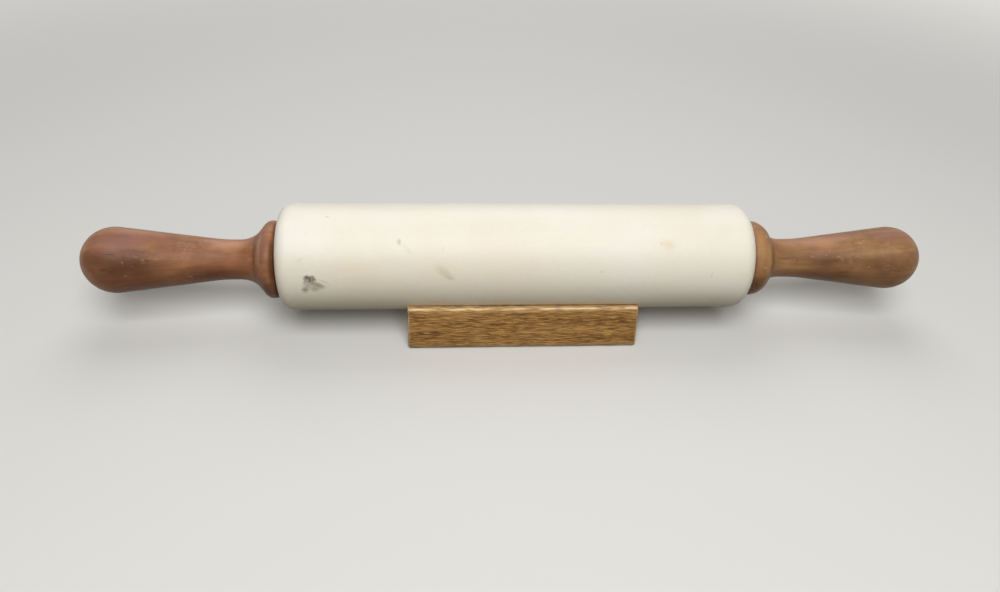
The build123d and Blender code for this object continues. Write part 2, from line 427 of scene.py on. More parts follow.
def spun_skin(tree, given):
    """Spins the half section about the X axis into one welded, closed skin.

    The grid has a row for each point of the half section, a column for each facet, and one for the seam.
    """
    count = add_node(tree, "GeometryNodeAttributeDomainSize", {"Geometry": given["Half Section"]})
    columns = add_node(tree, "ShaderNodeMath", {0: given["Segments"], 1: 1.0}, operation="ADD").outputs[0]
    grid = add_node(
        tree, "GeometryNodeMeshGrid", {"Vertices X": count.outputs["Point Count"], "Vertices Y": columns}
    ).outputs["Mesh"]
    index = add_node(tree, "GeometryNodeInputIndex").outputs[0]
    row = add_node(
        tree, "FunctionNodeIntegerMath", {0: index, 1: columns}, operation="DIVIDE_FLOOR"
    ).outputs[0]
    column = add_node(
        tree, "FunctionNodeIntegerMath", {0: index, 1: columns}, operation="MODULO"
    ).outputs[0]
    position = add_node(tree, "GeometryNodeInputPosition").outputs[0]
    section = add_node(
        tree,
        "GeometryNodeSampleIndex",
        {"Geometry": given["Half Section"], "Value": position},
        data_type="FLOAT_VECTOR",
    )
    tree.links.new(row, section.inputs["Index"])
    drawn = add_node(tree, "ShaderNodeSeparateXYZ", {0: section.outputs["Value"]}).outputs
    turned = add_node(
        tree, "ShaderNodeMath", {0: column, 1: given["Segments"]}, operation="DIVIDE"
    ).outputs[0]
    spoke = add_node(tree, "ShaderNodeMath", {0: turned, 1: FULL_TURN}, operation="MULTIPLY").outputs[0]
    cosine = add_node(tree, "ShaderNodeMath", {0: spoke}, operation="COSINE").outputs[0]
    sine = add_node(tree, "ShaderNodeMath", {0: spoke}, operation="SINE").outputs[0]
    depth = add_node(tree, "ShaderNodeMath", {0: drawn["Y"], 1: cosine}, operation="MULTIPLY").outputs[0]
    height = add_node(tree, "ShaderNodeMath", {0: drawn["Y"], 1: sine}, operation="MULTIPLY").outputs[0]
    point = add_node(tree, "ShaderNodeCombineXYZ", {"X": drawn["X"], "Y": depth, "Z": height}).outputs[0]
    skin = add_node(tree, "GeometryNodeSetPosition", {"Geometry": grid, "Position": point}).outputs[0]
    return add_node(tree, "GeometryNodeMergeByDistance", {"Geometry": skin, "Distance": WELD}).outputs[0]


def hand_worked(tree, given, skin):
    """Gives the skin a slow wander and the fine rings of the tool, which fade out towards the bores."""
    position = add_node(tree, "GeometryNodeInputPosition").outputs[0]
    radius = axis_distance(tree, position)
    clear = add_node(
        tree, "ShaderNodeMath", {0: radius, 1: given["Bore Radius"]}, operation="SUBTRACT"
    ).outputs[0]
    outside = add_node(
        tree, "ShaderNodeMapRange", {"Value": clear, "From Max": BORE_FADE}, interpolation_type="SMOOTHSTEP"
    ).outputs[0]
    fineness = add_node(
        tree, "ShaderNodeMath", {0: 1.0, 1: given["Wander Size"]}, operation="DIVIDE"
    ).outputs[0]
    wander = add_node(
        tree,
        "ShaderNodeTexNoise",
        {"Vector": position, "W": given["Seed"], "Scale": fineness, "Detail": 2.0},
        noise_dimensions="4D",
    ).outputs[0]
    wander = add_node(tree, "ShaderNodeMath", {0: wander, 1: NOISE_MIDDLE}, operation="SUBTRACT").outputs[0]
    wander = add_node(
        tree, "ShaderNodeMath", {0: wander, 1: given["Wander Depth"]}, operation="MULTIPLY"
    ).outputs[0]
    along = add_node(tree, "ShaderNodeSeparateXYZ", {0: position}).outputs["X"]
    phase = add_node(
        tree, "ShaderNodeMath", {0: along, 1: given["Tool Ring Pitch"]}, operation="DIVIDE"
    ).outputs[0]
    phase = add_node(tree, "ShaderNodeMath", {0: phase, 1: FULL_TURN}, operation="MULTIPLY").outputs[0]
    ring = add_node(tree, "ShaderNodeMath", {0: phase}, operation="SINE").outputs[0]
    ring = add_node(
        tree, "ShaderNodeMath", {0: ring, 1: given["Tool Ring Depth"]}, operation="MULTIPLY"
    ).outputs[0]
    both = add_node(tree, "ShaderNodeMath", {0: wander, 1: ring}, operation="ADD").outputs[0]
    rise = add_node(tree, "ShaderNodeMath", {0: both, 1: outside}, operation="MULTIPLY").outputs[0]
    normal = add_node(tree, "GeometryNodeInputNormal").outputs[0]
    offset = add_node(
        tree, "ShaderNodeVectorMath", {0: normal, "Scale": rise}, operation="SCALE"
    ).outputs[0]
    return add_node(tree, "GeometryNodeSetPosition", {"Geometry": skin, "Offset": offset}).outputs[0]


def crisp_edges(tree, given, skin):
    """Shades the skin smooth, but for the edges that are sharper than the smooth angle."""
    edge = add_node(tree, "GeometryNodeInputMeshEdgeAngle").outputs[0]
    soft = add_node(
        tree,
        "FunctionNodeCompare",
        {0: edge, 1: given["Smooth Angle"]},
        data_type="FLOAT",
        operation="LESS_THAN",
    ).outputs[0]
    skin = add_node(
        tree, "GeometryNodeSetShadeSmooth", {"Geometry": skin, "Shade Smooth": True}
    ).outputs[0]
    return add_node(
        tree, "GeometryNodeSetShadeSmooth", {"Geometry": skin, "Shade Smooth": soft}, domain="EDGE"
    ).outputs[0]


def link_object(name, mesh):
    """Puts a mesh into the scene as an object that stands at the origin."""
    made = bpy.data.objects.new(name, mesh)
    bpy.context.scene.collection.objects.link(made)
    return made


def turn_piece(name, outline, inputs):
    """Turns an outline on the lathe tree, and returns the plain mesh object."""
    section = bpy.data.meshes.new(name + "_section")
    chain = [(i, i + 1) for i in range(len(outline) - 1)]
    section.from_pydata([(p.x, p.y, 0) for p in outline], chain, [])
    blank = link_object(name + "_blank", section)
    tree = bpy.data.node_groups.get(LATHE) or lathe_tree()
    lathe = blank.modifiers.new("Lathe", "NODES")
    lathe.node_group = tree
    for title, value in inputs.items():
        lathe[tree.interface.items_tree[title].identifier] = value
    evaluated = blank.evaluated_get(bpy.context.evaluated_depsgraph_get())
    mesh = bpy.data.meshes.new_from_object(evaluated)
    mesh.name = name
    bpy.data.objects.remove(blank)
    check_closed(name, mesh)
    return link_object(name, mesh)


def check_closed(name, mesh):
    """Raises an error unless the mesh is closed, its faces point outwards, and none is folded over."""
    check = bmesh.new()
    check.from_mesh(mesh)
    open_edges = sum(1 for e in check.edges if not e.is_manifold)
    folds = sum(1 for e in check.edges if e.calc_face_angle(0.0) > FOLD_ANGLE)
    volume = check.calc_volume(signed=True)
    check.free()
    if open_edges or folds or volume <= 0:
        raise RuntimeError(
            f"{name}: {open_edges} open edges, {folds} folds, volume {volume:.3g} cubic metres"
        )


def new_material(name):
    """A material with its Principled shader, and the Object coordinates that its patterns read."""
    material = bpy.data.materials.new(name)
    material.use_nodes = True
    tree = material.node_tree
    shader = tree.nodes["Principled BSDF"]
    coordinates = add_node(tree, "ShaderNodeTexCoord").outputs["Object"]
    return material, tree, shader, coordinates


def axis_distance(tree, position):
    """Distance of a position from the X axis."""
    across = add_node(
        tree, "ShaderNodeVectorMath", {0: position, 1: (0, 1, 1)}, operation="MULTIPLY"
    ).outputs[0]
    return add_node(tree, "ShaderNodeVectorMath", {0: across}, operation="LENGTH").outputs["Value"]


def stretched_noise(tree, coordinates, along, across, **inputs):
    """Noise whose grains are that long along X and that wide across it, in metres."""
    squeezed = add_node(
        tree, "ShaderNodeMapping", {"Vector": coordinates, "Scale": (1 / along, 1 / across, 1 / across)}
    ).outputs[0]
    return add_node(tree, "ShaderNodeTexNoise", {"Vector": squeezed, "Scale": 1.0, **inputs}).outputs[0]


def lay_over(tree, tint, cover, strength, shade):
    """Lays a colour over the tint, as far as it covers the surface and as strongly as it is to show."""
    cover = add_node(tree, "ShaderNodeMath", {0: cover, 1: strength}, operation="MULTIPLY").outputs[0]
    return add_node(
        tree, "ShaderNodeMix", {0: cover, BELOW: tint, ABOVE: solid(shade)}, data_type="RGBA"
    ).outputs[BLENDED]


# How deep into the stone or the wood a mark reaches, and how many waves its rim has for each half length
MARK_DEPTH = 8 * MM
RIM_WAVES = 1.7

# How many marks a material has room for. Cycles holds six values for each mark until its colour is laid, and
# a material with more of them turns black.
MOST_MARKS = 36


def check_marks(name, marks):
    """Raises an error if a material has more marks than it has room for."""
    if len(marks) > MOST_MARKS:
        raise RuntimeError(f"{name}: {len(marks)} marks, but there is room for only {MOST_MARKS}")


def surface_mark(tree, coordinates, place, turn, size, ragged, rim):
    """Share of a mark on a round surface: 1 inside, fading to 0 at a ragged rim.

    The place is (x, angle up from the front, radius, height of the axis). The turn swings the mark's length
    from X towards the top. The size is its half length and half width.
    """
    x, up, radius, axis = place
    normal = Vector((0, -math.cos(up), math.sin(up)))
    around = Vector((0, math.sin(up), math.cos(up)))
    ahead = Vector((1, 0, 0)) * math.cos(turn) + around * math.sin(turn)
    middle = Vector((x, 0, axis)) + normal * radius
    axes = Matrix((ahead, normal.cross(ahead), normal)).transposed().to_euler()
    local = add_node(
        tree,
        "ShaderNodeMapping",
        {"Vector": coordinates, "Location": middle, "Rotation": axes, "Scale": (*size, MARK_DEPTH)},
        vector_type="TEXTURE",
    ).outputs[0]
    rough = add_node(
        tree, "ShaderNodeTexNoise", {"Vector": local, "Scale": RIM_WAVES, "Detail": 4.0}
    ).outputs["Color"]
    rough = add_node(
        tree, "ShaderNodeVectorMath", {0: rough, 1: (NOISE_MIDDLE,) * 3}, operation="SUBTRACT"
    ).outputs[0]
    moved = add_node(
        tree, "ShaderNodeVectorMath", {0: rough, 1: (ragged, ragged, 0), 2: local}, operation="MULTIPLY_ADD"
    ).outputs[0]
    reach = add_node(tree, "ShaderNodeVectorMath", {0: moved}, operation="LENGTH").outputs["Value"]
    return add_node(
        tree,
        "ShaderNodeMapRange",
        {"Value": reach, "From Min": 1.0, "From Max": 1.0 - rim},
        interpolation_type="SMOOTHSTEP",
    ).outputs[0]


# Natural marks of the marble: colour, x in mm, degrees up from the front, degrees that the length swings up
# from X, half length and half width in mm, raggedness, share of the rim that fades, strength
MARBLE_MARKS = (
    ("ash", -105.8, 5.5, -28, 6.0, 3.6, 0.7, 1.0, 0.5),
    ("ash", -110.0, 5.2, 66, 4.0, 2.9, 0.7, 1.0, 0.5),
    ("graphite", -108.8, 12.6, -6, 3.9, 2.4, 0.6, 0.7, 0.9),
    ("graphite", -110.1, 15.0, 40, 1.9, 1.3, 0.6, 0.9, 0.6),
    ("graphite", -106.9, 15.4, -10, 1.9, 1.1, 0.6, 0.9, 0.5),
    ("graphite", -106.3, 12.2, -20, 2.1, 1.4, 0.6, 0.9, 0.6),
    ("graphite", -111.0, 9.4, 60, 1.8, 1.1, 0.7, 0.9, 0.45),
    ("cream", -107.5, 13.0, 0, 0.8, 0.6, 0.5, 0.9, 0.45),
    ("cream", -109.5, 10.7, 20, 0.9, 0.5, 0.6, 0.9, 0.4),
    ("ash", -107.3, 8.3, -20, 3.8, 1.7, 0.7, 0.9, 0.55),
    ("ash", -103.4, 4.8, -25, 4.0, 2.0, 0.7, 0.9, 0.5),
    ("graphite", -111.4, 0.4, 10, 1.8, 1.3, 0.7, 0.9, 0.4),
    ("ash", -111.2, -0.5, 8, 2.9, 2.6, 0.7, 0.9, 0.5),
    ("ash", -106.5, 0.5, -5, 3.4, 2.2, 0.7, 0.9, 0.45),
    ("ash", -101.4, 9.6, -26, 4.6, 0.8, 0.8, 0.9, 0.25),
    ("ash", -63.0, 50.6, -80, 2.9, 1.7, 0.5, 1.0, 0.4),
    ("tan", -59.4, 44.0, -52, 6.6, 1.6, 0.7, 1.0, 0.13),
    ("ash", -40.6, 43.4, 80, 1.8, 0.8, 0.6, 1.0, 0.1),
    ("tan", -39.8, 18.6, -38, 9.0, 3.4, 0.5, 1.0, 0.32),
    ("tan", -37.0, 13.0, -14, 3.4, 1.2, 0.7, 1.0, 0.3),
    ("honey", 77.4, 47.0, -16, 5.6, 4.0, 0.8, 1.0, 0.36),
    ("tan", 73.8, 48.4, -50, 1.6, 0.7, 0.7, 0.9, 0.3),
    ("ash", 42.2, 19.0, 0, 1.1, 1.0, 0.6, 0.9, 0.22),
    ("ash", -100.1, 80.7, -20, 1.8, 0.8, 0.8, 0.9, 0.26),
    ("tan", 101.5, 15.1, 80, 2.4, 0.7, 0.8, 0.9, 0.22),
    ("ash", -113.2, 32.6, 30, 3.0, 1.4, 0.8, 1.0, 0.12),
    ("tan", 18.0, 128.0, 24, 6.0, 1.8, 0.9, 0.9, 0.26),
    ("ash", -71.0, 152.0, -40, 3.0, 1.4, 1.0, 0.9, 0.26),
    ("graphite", 88.0, 171.0, 15, 1.8, 1.1, 1.0, 0.8, 0.6),
    ("ash", 90.5, 166.0, -20, 4.2, 1.3, 1.0, 0.9, 0.3),
    ("honey", -22.0, 206.0, -12, 6.0, 3.0, 0.9, 1.0, 0.36),
    ("ash", 52.0, 236.0, 35, 2.8, 1.2, 0.9, 0.9, 0.24),
    ("tan", -96.0, 262.0, 20, 4.4, 1.7, 0.9, 0.9, 0.26),
)


def honed_marble(barrel):
    """White marble, ground round and honed by hand use: deep, soft and satin, with no mirror in it.

    It is nearly even cream, with milky clouds, faint sandy veils along the pin, and a few mineral marks.
    """
    check_marks("honed_white_marble", MARBLE_MARKS)
    material, tree, shader, coordinates = new_material("honed_white_marble")
    clouds = add_node(
        tree,
        "ShaderNodeTexNoise",
        {"Vector": coordinates, "Scale": 1 / (70 * MM), "Detail": 3.0, "Distortion": 0.3},
    ).outputs[0]
    clouds = add_node(
        tree, "ShaderNodeMapRange", {"Value": clouds, "From Min": 0.38, "From Max": 0.62}
    ).outputs[0]
    tint = add_node(
        tree,
        "ShaderNodeMix",
        {0: clouds, BELOW: solid(barrel.cream), ABOVE: solid(barrel.milk)},
        data_type="RGBA",
    ).outputs[BLENDED]
    veils = stretched_noise(tree, coordinates, along=60 * MM, across=14 * MM, Detail=4.0, Distortion=0.3)
    veils = add_node(
        tree, "ShaderNodeMapRange", {"Value": veils, "From Min": 0.5, "From Max": 0.78, "To Max": 0.4}
    ).outputs[0]
    tint = add_node(
        tree, "ShaderNodeMix", {0: veils, BELOW: tint, ABOVE: solid(barrel.sand)}, data_type="RGBA"
    ).outputs[BLENDED]

    # Sugar grain: the crystals are near 0.3 mm, and are drawn at 0.8 mm so that they show
    crystals = add_node(
        tree, "ShaderNodeTexVoronoi", {"Vector": coordinates, "Scale": 1 / (0.8 * MM)}, feature="F1"
    ).outputs["Color"]
    crystal_light = add_node(tree, "ShaderNodeSeparateColor", {0: crystals}).outputs[0]
    sparkle = add_node(
        tree, "ShaderNodeMapRange", {"Value": crystal_light, "To Min": 0.985, "To Max": 1.01}
    ).outputs[0]
    tint = add_node(
        tree, "ShaderNodeVectorMath", {0: tint, "Scale": sparkle}, operation="SCALE"
    ).outputs[0]

    # The dark grains lie in loose clusters, so the stone shows between them
    specks = add_node(
        tree, "ShaderNodeTexNoise", {"Vector": coordinates, "Scale": 1 / (1.1 * MM), "Detail": 3.0}
    ).outputs[0]
    specks = add_node(
        tree, "ShaderNodeMapRange", {"Value": specks, "From Min": 0.34, "From Max": 0.54, "To Min": 0.5}
    ).outputs[0]
    for shade, x, up, swing, half_length, half_width, ragged, rim, strength in MARBLE_MARKS:
        place = (x * MM, math.radians(up), barrel.radius, BARREL_HEIGHT)
        size = (half_length * MM, half_width * MM)
        mark = surface_mark(tree, coordinates, place, math.radians(swing), size, ragged, rim)
        if shade == "graphite":
            mark = add_node(tree, "ShaderNodeMath", {0: mark, 1: specks}, operation="MULTIPLY").outputs[0]
        tint = lay_over(tree, tint, mark, strength, getattr(barrel, shade))
    tree.links.new(tint, shader.inputs["Base Color"])

    gloss = add_node(
        tree, "ShaderNodeTexNoise", {"Vector": coordinates, "Scale": 1 / (16 * MM), "Detail": 3.0}
    ).outputs[0]
    gloss = add_node(tree, "ShaderNodeMapRange", {"Value": gloss, "To Min": 0.34, "To Max": 0.46}).outputs[0]
    tree.links.new(gloss, shader.inputs["Roughness"])
    bump = add_node(
        tree, "ShaderNodeBump", {"Strength": 0.2, "Distance": 0.02 * MM, "Height": crystal_light}
    ).outputs[0]
    tree.links.new(bump, shader.inputs["Normal"])
    shader.inputs["IOR"].default_value = 1.49
    shader.inputs["Specular IOR Level"].default_value = 0.3
    shader.inputs["Subsurface Weight"].default_value = 0.25
    shader.inputs["Subsurface Radius"].default_value = (4 * MM, 2.8 * MM, 1.8 * MM)
    shader.inputs["Subsurface Scale"].default_value = 1.0
    return material


def ring_distance(tree, coordinates, pith, waviness):
    """Distance from the middle of the tree trunk, whose line runs along X, bent as a trunk grows."""
    bend = stretched_noise(tree, coordinates, along=70 * MM, across=14 * MM, Detail=2.0)
    bend = add_node(tree, "ShaderNodeMath", {0: bend, 1: waviness}, operation="MULTIPLY").outputs[0]
    moved = add_node(
        tree, "ShaderNodeMapping", {"Vector": coordinates, "Location": (0, -pith[0], -pith[1])}
    ).outputs[0]
    reach = axis_distance(tree, moved)
    return add_node(tree, "ShaderNodeMath", {0: reach, 1: bend}, operation="ADD").outputs[0]


def growth_bands(tree, coordinates, reach, ring_width, ring_run):
    """Light and dark growth rings of uneven width: noise that follows the rings and drifts along X."""
    along = add_node(tree, "ShaderNodeSeparateXYZ", {0: coordinates}).outputs["X"]
    turns = add_node(tree, "ShaderNodeMath", {0: reach, 1: ring_width}, operation="DIVIDE").outputs[0]
    drift = add_node(tree, "ShaderNodeMath", {0: along, 1: ring_run}, operation="DIVIDE").outputs[0]
    field = add_node(tree, "ShaderNodeCombineXYZ", {"X": drift, "Y": turns}).outputs[0]
    return add_node(tree, "ShaderNodeTexNoise", {"Vector": field, "Scale": 1.0, "Detail": 3.0}).outputs[0]


def pore_dashes(tree, coordinates, run, width, spread):
    """Pores cut open along the grain: thin dashes along X, round dots on the end grain. 1 in a pore.

    A pore is at most as long as the run and as wide as the width, and the spread is the share of places
    that have one.
    """
    squeezed = add_node(
        tree, "ShaderNodeMapping", {"Vector": coordinates, "Scale": (1 / run, 1 / width, 1 / width)}
    ).outputs[0]
    cells = add_node(
        tree, "ShaderNodeTexVoronoi", {"Vector": squeezed, "Scale": 1.0, "Randomness": 1.0}, feature="F1"
    )
    pick = add_node(tree, "ShaderNodeSeparateColor", {0: cells.outputs["Color"]}).outputs[0]
    size = add_node(
        tree, "ShaderNodeMapRange", {"Value": pick, "From Min": 1 - spread, "To Max": 0.42}
    ).outputs[0]
    inside = add_node(
        tree, "ShaderNodeMath", {0: size, 1: cells.outputs["Distance"]}, operation="SUBTRACT"
    ).outputs[0]
    return add_node(
        tree, "ShaderNodeMapRange", {"Value": inside, "From Max": 0.16}, interpolation_type="SMOOTHSTEP"
    ).outputs[0]


# Tones and marks of a handle: colour, mm out from the collar's face, degrees up from the front, degrees that
# the length swings up from X, half length and half width in mm, share of the rim that fades, strength. A
# scuff is a patch of pale scratches.
# Some rows paint shade under a handle, by the marble and in its crease, and sheen and highlights on top
LEFT_MARKS = (
    ("umber_and_shade", 76.0, 25.0, 2, 32.0, 12.5, 0.85, 0.95),
    # Painted shade under the bulb
    ("umber_and_shade", 70.0, -18.0, 0, 30.0, 9.0, 1.0, 0.5),
    # Painted sheen on the bulb's upper side
    ("rose_and_sheen", 78.0, 68.0, -6, 22.0, 8.0, 0.9, 0.85),
    # Painted highlight along the bulb's top
    ("pink_highlight", 73.4, 104.0, -3, 26.0, 5.5, 1.0, 0.5),
    # Painted sheen on the grip's upper side
    ("rose_and_sheen", 48.0, 76.0, -4, 20.0, 5.0, 1.0, 0.3),
    # Painted highlight along the neck's top
    ("pink_highlight", 26.0, 88.0, 0, 20.0, 6.0, 0.9, 0.65),
    ("gold", 23.2, 66.0, 0, 10.0, 3.6, 1.0, 0.3),
    # Painted shade under the neck and under the collar
    ("umber_and_shade", 36.0, -8.0, 0, 30.0, 8.0, 1.0, 0.85),
    ("umber_and_shade", 6.0, -22.0, 90, 15.0, 8.5, 1.0, 0.95),
    # Painted sheen on the collar's upper slope
    ("rose_and_sheen", 5.6, 60.0, 90, 16.0, 4.5, 1.0, 0.6),
    # Painted highlight on the collar's upper slope
    ("pink_highlight", 7.6, 50.0, 90, 18.0, 2.4, 1.0, 0.55),
    # Painted shade at the collar's rim by the marble
    ("umber_and_shade", 1.2, 28.0, 90, 26.0, 2.0, 1.0, 0.85),
    # Painted shade in the collar's crease
    ("pore", 10.4, 43.0, 90, 6.0, 0.9, 1.0, 0.3),
    ("pore", 81.8, 45.0, 2, 4.2, 0.5, 0.8, 0.75),
    ("pore", 82.8, 49.5, 0, 2.4, 0.4, 0.8, 0.4),
    ("pore", 64.0, 33.8, 0, 2.2, 0.6, 0.8, 0.6),
    ("pore", 66.5, 51.2, -10, 2.8, 0.8, 0.9, 0.35),
    ("pore", 85.4, 19.2, 0, 3.2, 1.0, 0.9, 0.5),
    ("pore", 81.7, 15.8, -10, 2.8, 0.8, 0.9, 0.6),
    ("fleck", 76.2, 30.7, 70, 1.3, 0.6, 0.9, 0.3),
    ("scuff", 68.0, 38.0, 0, 10.0, 6.0, 0.9, 0.22),
    ("scuff", 44.0, 66.0, 0, 14.0, 5.0, 0.9, 0.3),
    ("scuff", 44.0, -10.0, 0, 9.0, 4.0, 0.9, 0.35),
    ("fleck", 66.9, 35.8, 25, 1.3, 0.8, 1.0, 0.25),
    ("fleck", 59.5, 37.7, 0, 1.1, 0.8, 1.0, 0.25),
    ("fleck", 75.6, 6.1, 0, 1.2, 0.7, 1.0, 0.35),
    ("fleck", 46.2, 59.0, 84, 1.2, 0.6, 1.0, 0.35),
    ("fleck", 39.6, 81.9, 60, 1.3, 0.7, 1.0, 0.3),
    ("fleck", 44.2, -13.0, 60, 1.3, 0.6, 1.0, 0.45),
    ("fleck", 78.2, -24.1, 0, 0.8, 0.7, 0.9, 0.7),
    ("fleck", 7.9, 91.3, 60, 1.2, 0.7, 1.0, 0.5),
    ("gold", 60.0, 190.0, 0, 22.0, 5.0, 1.0, 0.4),
    ("umber_and_shade", 82.0, 230.0, 4, 14.0, 6.0, 1.0, 0.4),
    ("pore", 71.0, 160.0, 4, 4.0, 0.5, 0.8, 0.6),
    ("fleck", 52.0, 140.0, 70, 1.6, 0.5, 0.9, 0.45),
)
RIGHT_MARKS = (
    # Painted highlight along the handle's top
    ("pink_highlight", 42.0, 86.0, 0, 32.0, 6.5, 0.9, 0.5),
    # Painted sheen on the handle's top
    ("rose_and_sheen", 30.3, 80.2, 0, 4.2, 2.8, 1.0, 0.5),
    ("gold", 8.6, 34.0, 90, 14.0, 4.0, 1.0, 0.7),
    ("rose_and_sheen", 1.2, 60.0, 90, 24.0, 3.0, 1.0, 0.3),
    ("gold", 4.0, 50.0, 90, 22.0, 4.6, 1.0, 0.6),
    # Painted shade under the collar
    ("umber_and_shade", 3.2, -12.0, 90, 12.0, 8.0, 1.0, 0.9),
    ("umber_and_shade", 46.0, 28.0, 1, 30.0, 8.5, 1.0, 0.72),
    # Painted shade under the grip
    ("umber_and_shade", 50.0, -16.0, 2, 30.0, 8.0, 1.0, 0.65),
    ("umber_and_shade", 80.0, 14.0, 2, 22.0, 12.0, 1.0, 0.6),
    ("scuff", 63.0, 76.0, 0, 14.0, 6.0, 0.9, 0.4),
    ("scuff", 56.0, 34.0, 0, 16.0, 6.0, 0.9, 0.36),
    ("scuff", 80.0, 22.0, 10, 8.0, 6.0, 0.9, 0.35),
    # Painted sheen along the tops of the grip and the bulb
    ("rose_and_sheen", 60.9, 100.4, 4, 18.0, 4.5, 1.0, 0.45),
    ("rose_and_sheen", 82.0, 84.0, 0, 18.0, 9.0, 0.9, 0.6),
    ("gold", 45.0, 74.0, 4, 11.0, 3.2, 1.0, 0.45),
    ("gold", 40.4, 94.2, 2, 7.0, 1.0, 0.9, 0.6),
    # Painted shade in the collar's crease
    ("pore", 10.2, 41.3, 90, 6.0, 0.8, 1.0, 0.35),
    ("pore", 20.4, 34.2, 0, 5.4, 0.5, 0.9, 0.55),
    ("pore", 28.2, 28.8, 84, 1.7, 0.5, 0.9, 0.5),
    ("pore", 74.9, 65.5, 0, 2.0, 0.6, 0.9, 0.5),
    ("pore", 55.1, 0.3, 2, 3.8, 0.6, 0.9, 0.5),
    ("fleck", 7.5, 71.5, 80, 1.8, 0.7, 0.9, 0.8),
    ("fleck", 5.8, 20.7, 0, 1.8, 0.7, 0.9, 0.55),
    ("fleck", 36.7, 38.2, -6, 2.4, 0.4, 0.9, 0.4),
    ("fleck", 45.9, 52.8, 40, 1.2, 0.6, 0.9, 0.35),
    ("fleck", 44.1, 42.2, 10, 1.0, 0.6, 0.9, 0.3),
    ("fleck", 57.5, 29.4, 0, 1.5, 0.9, 1.0, 0.3),
    ("fleck", 67.7, 16.8, 40, 1.3, 0.7, 0.9, 0.3),
    ("fleck", 63.4, 82.7, 0, 2.2, 0.9, 1.0, 0.25),
    ("fleck", 63.3, 68.8, 0, 1.8, 0.9, 1.0, 0.3),
    ("fleck", 78.4, 64.6, 20, 1.1, 0.8, 0.9, 0.35),
    ("umber_and_shade", 70.0, 196.0, 0, 20.0, 6.0, 1.0, 0.4),
    ("rose_and_sheen", 44.0, 228.0, 3, 16.0, 4.0, 1.0, 0.4),
    ("pore", 62.0, 150.0, 0, 4.4, 0.6, 0.8, 0.55),
    ("fleck", 80.0, 135.0, 50, 1.6, 0.6, 0.9, 0.45),
)


# Each handle: which way along X it points, where in the log its wood lies, the seed of its wander, its marks
HANDLE_SIDES = {
    "left": (-1, (0.31, 0.004, 0.011), 11, LEFT_MARKS),
    "right": (1, (0.86, -0.013, -0.006), 23, RIGHT_MARKS),
}

# The mahogany's grain leans a little from the handle's axis. Its flecks are shifted, so that they lie beside
# the pores. Both show with their own strength, and a pore is rougher than the wood round it.
MAHOGANY_LEAN = (0, math.radians(1.4), math.radians(-1.8))
FLECK_SHIFT = (9 * MM, 4 * MM, 6 * MM)
PORE_STRENGTH = 0.4
FLECK_STRENGTH = 0.28
PORE_ROUGHNESS = 0.2

# Painted shade and grime in a collar's crease: how far out from the crease's corner, and how far each way
CREASE_SHADE_SHIFT = 0.3 * MM
CREASE_SHADE_REACH = 1.6 * MM


def surface_radius(handle, outline, out):
    """Radius of a handle's turned surface at a distance from the collar's face."""
    outside = [p for p in outline if p.y > handle.seat_radius]
    return min(outside, key=lambda p: abs(p.x - out)).y


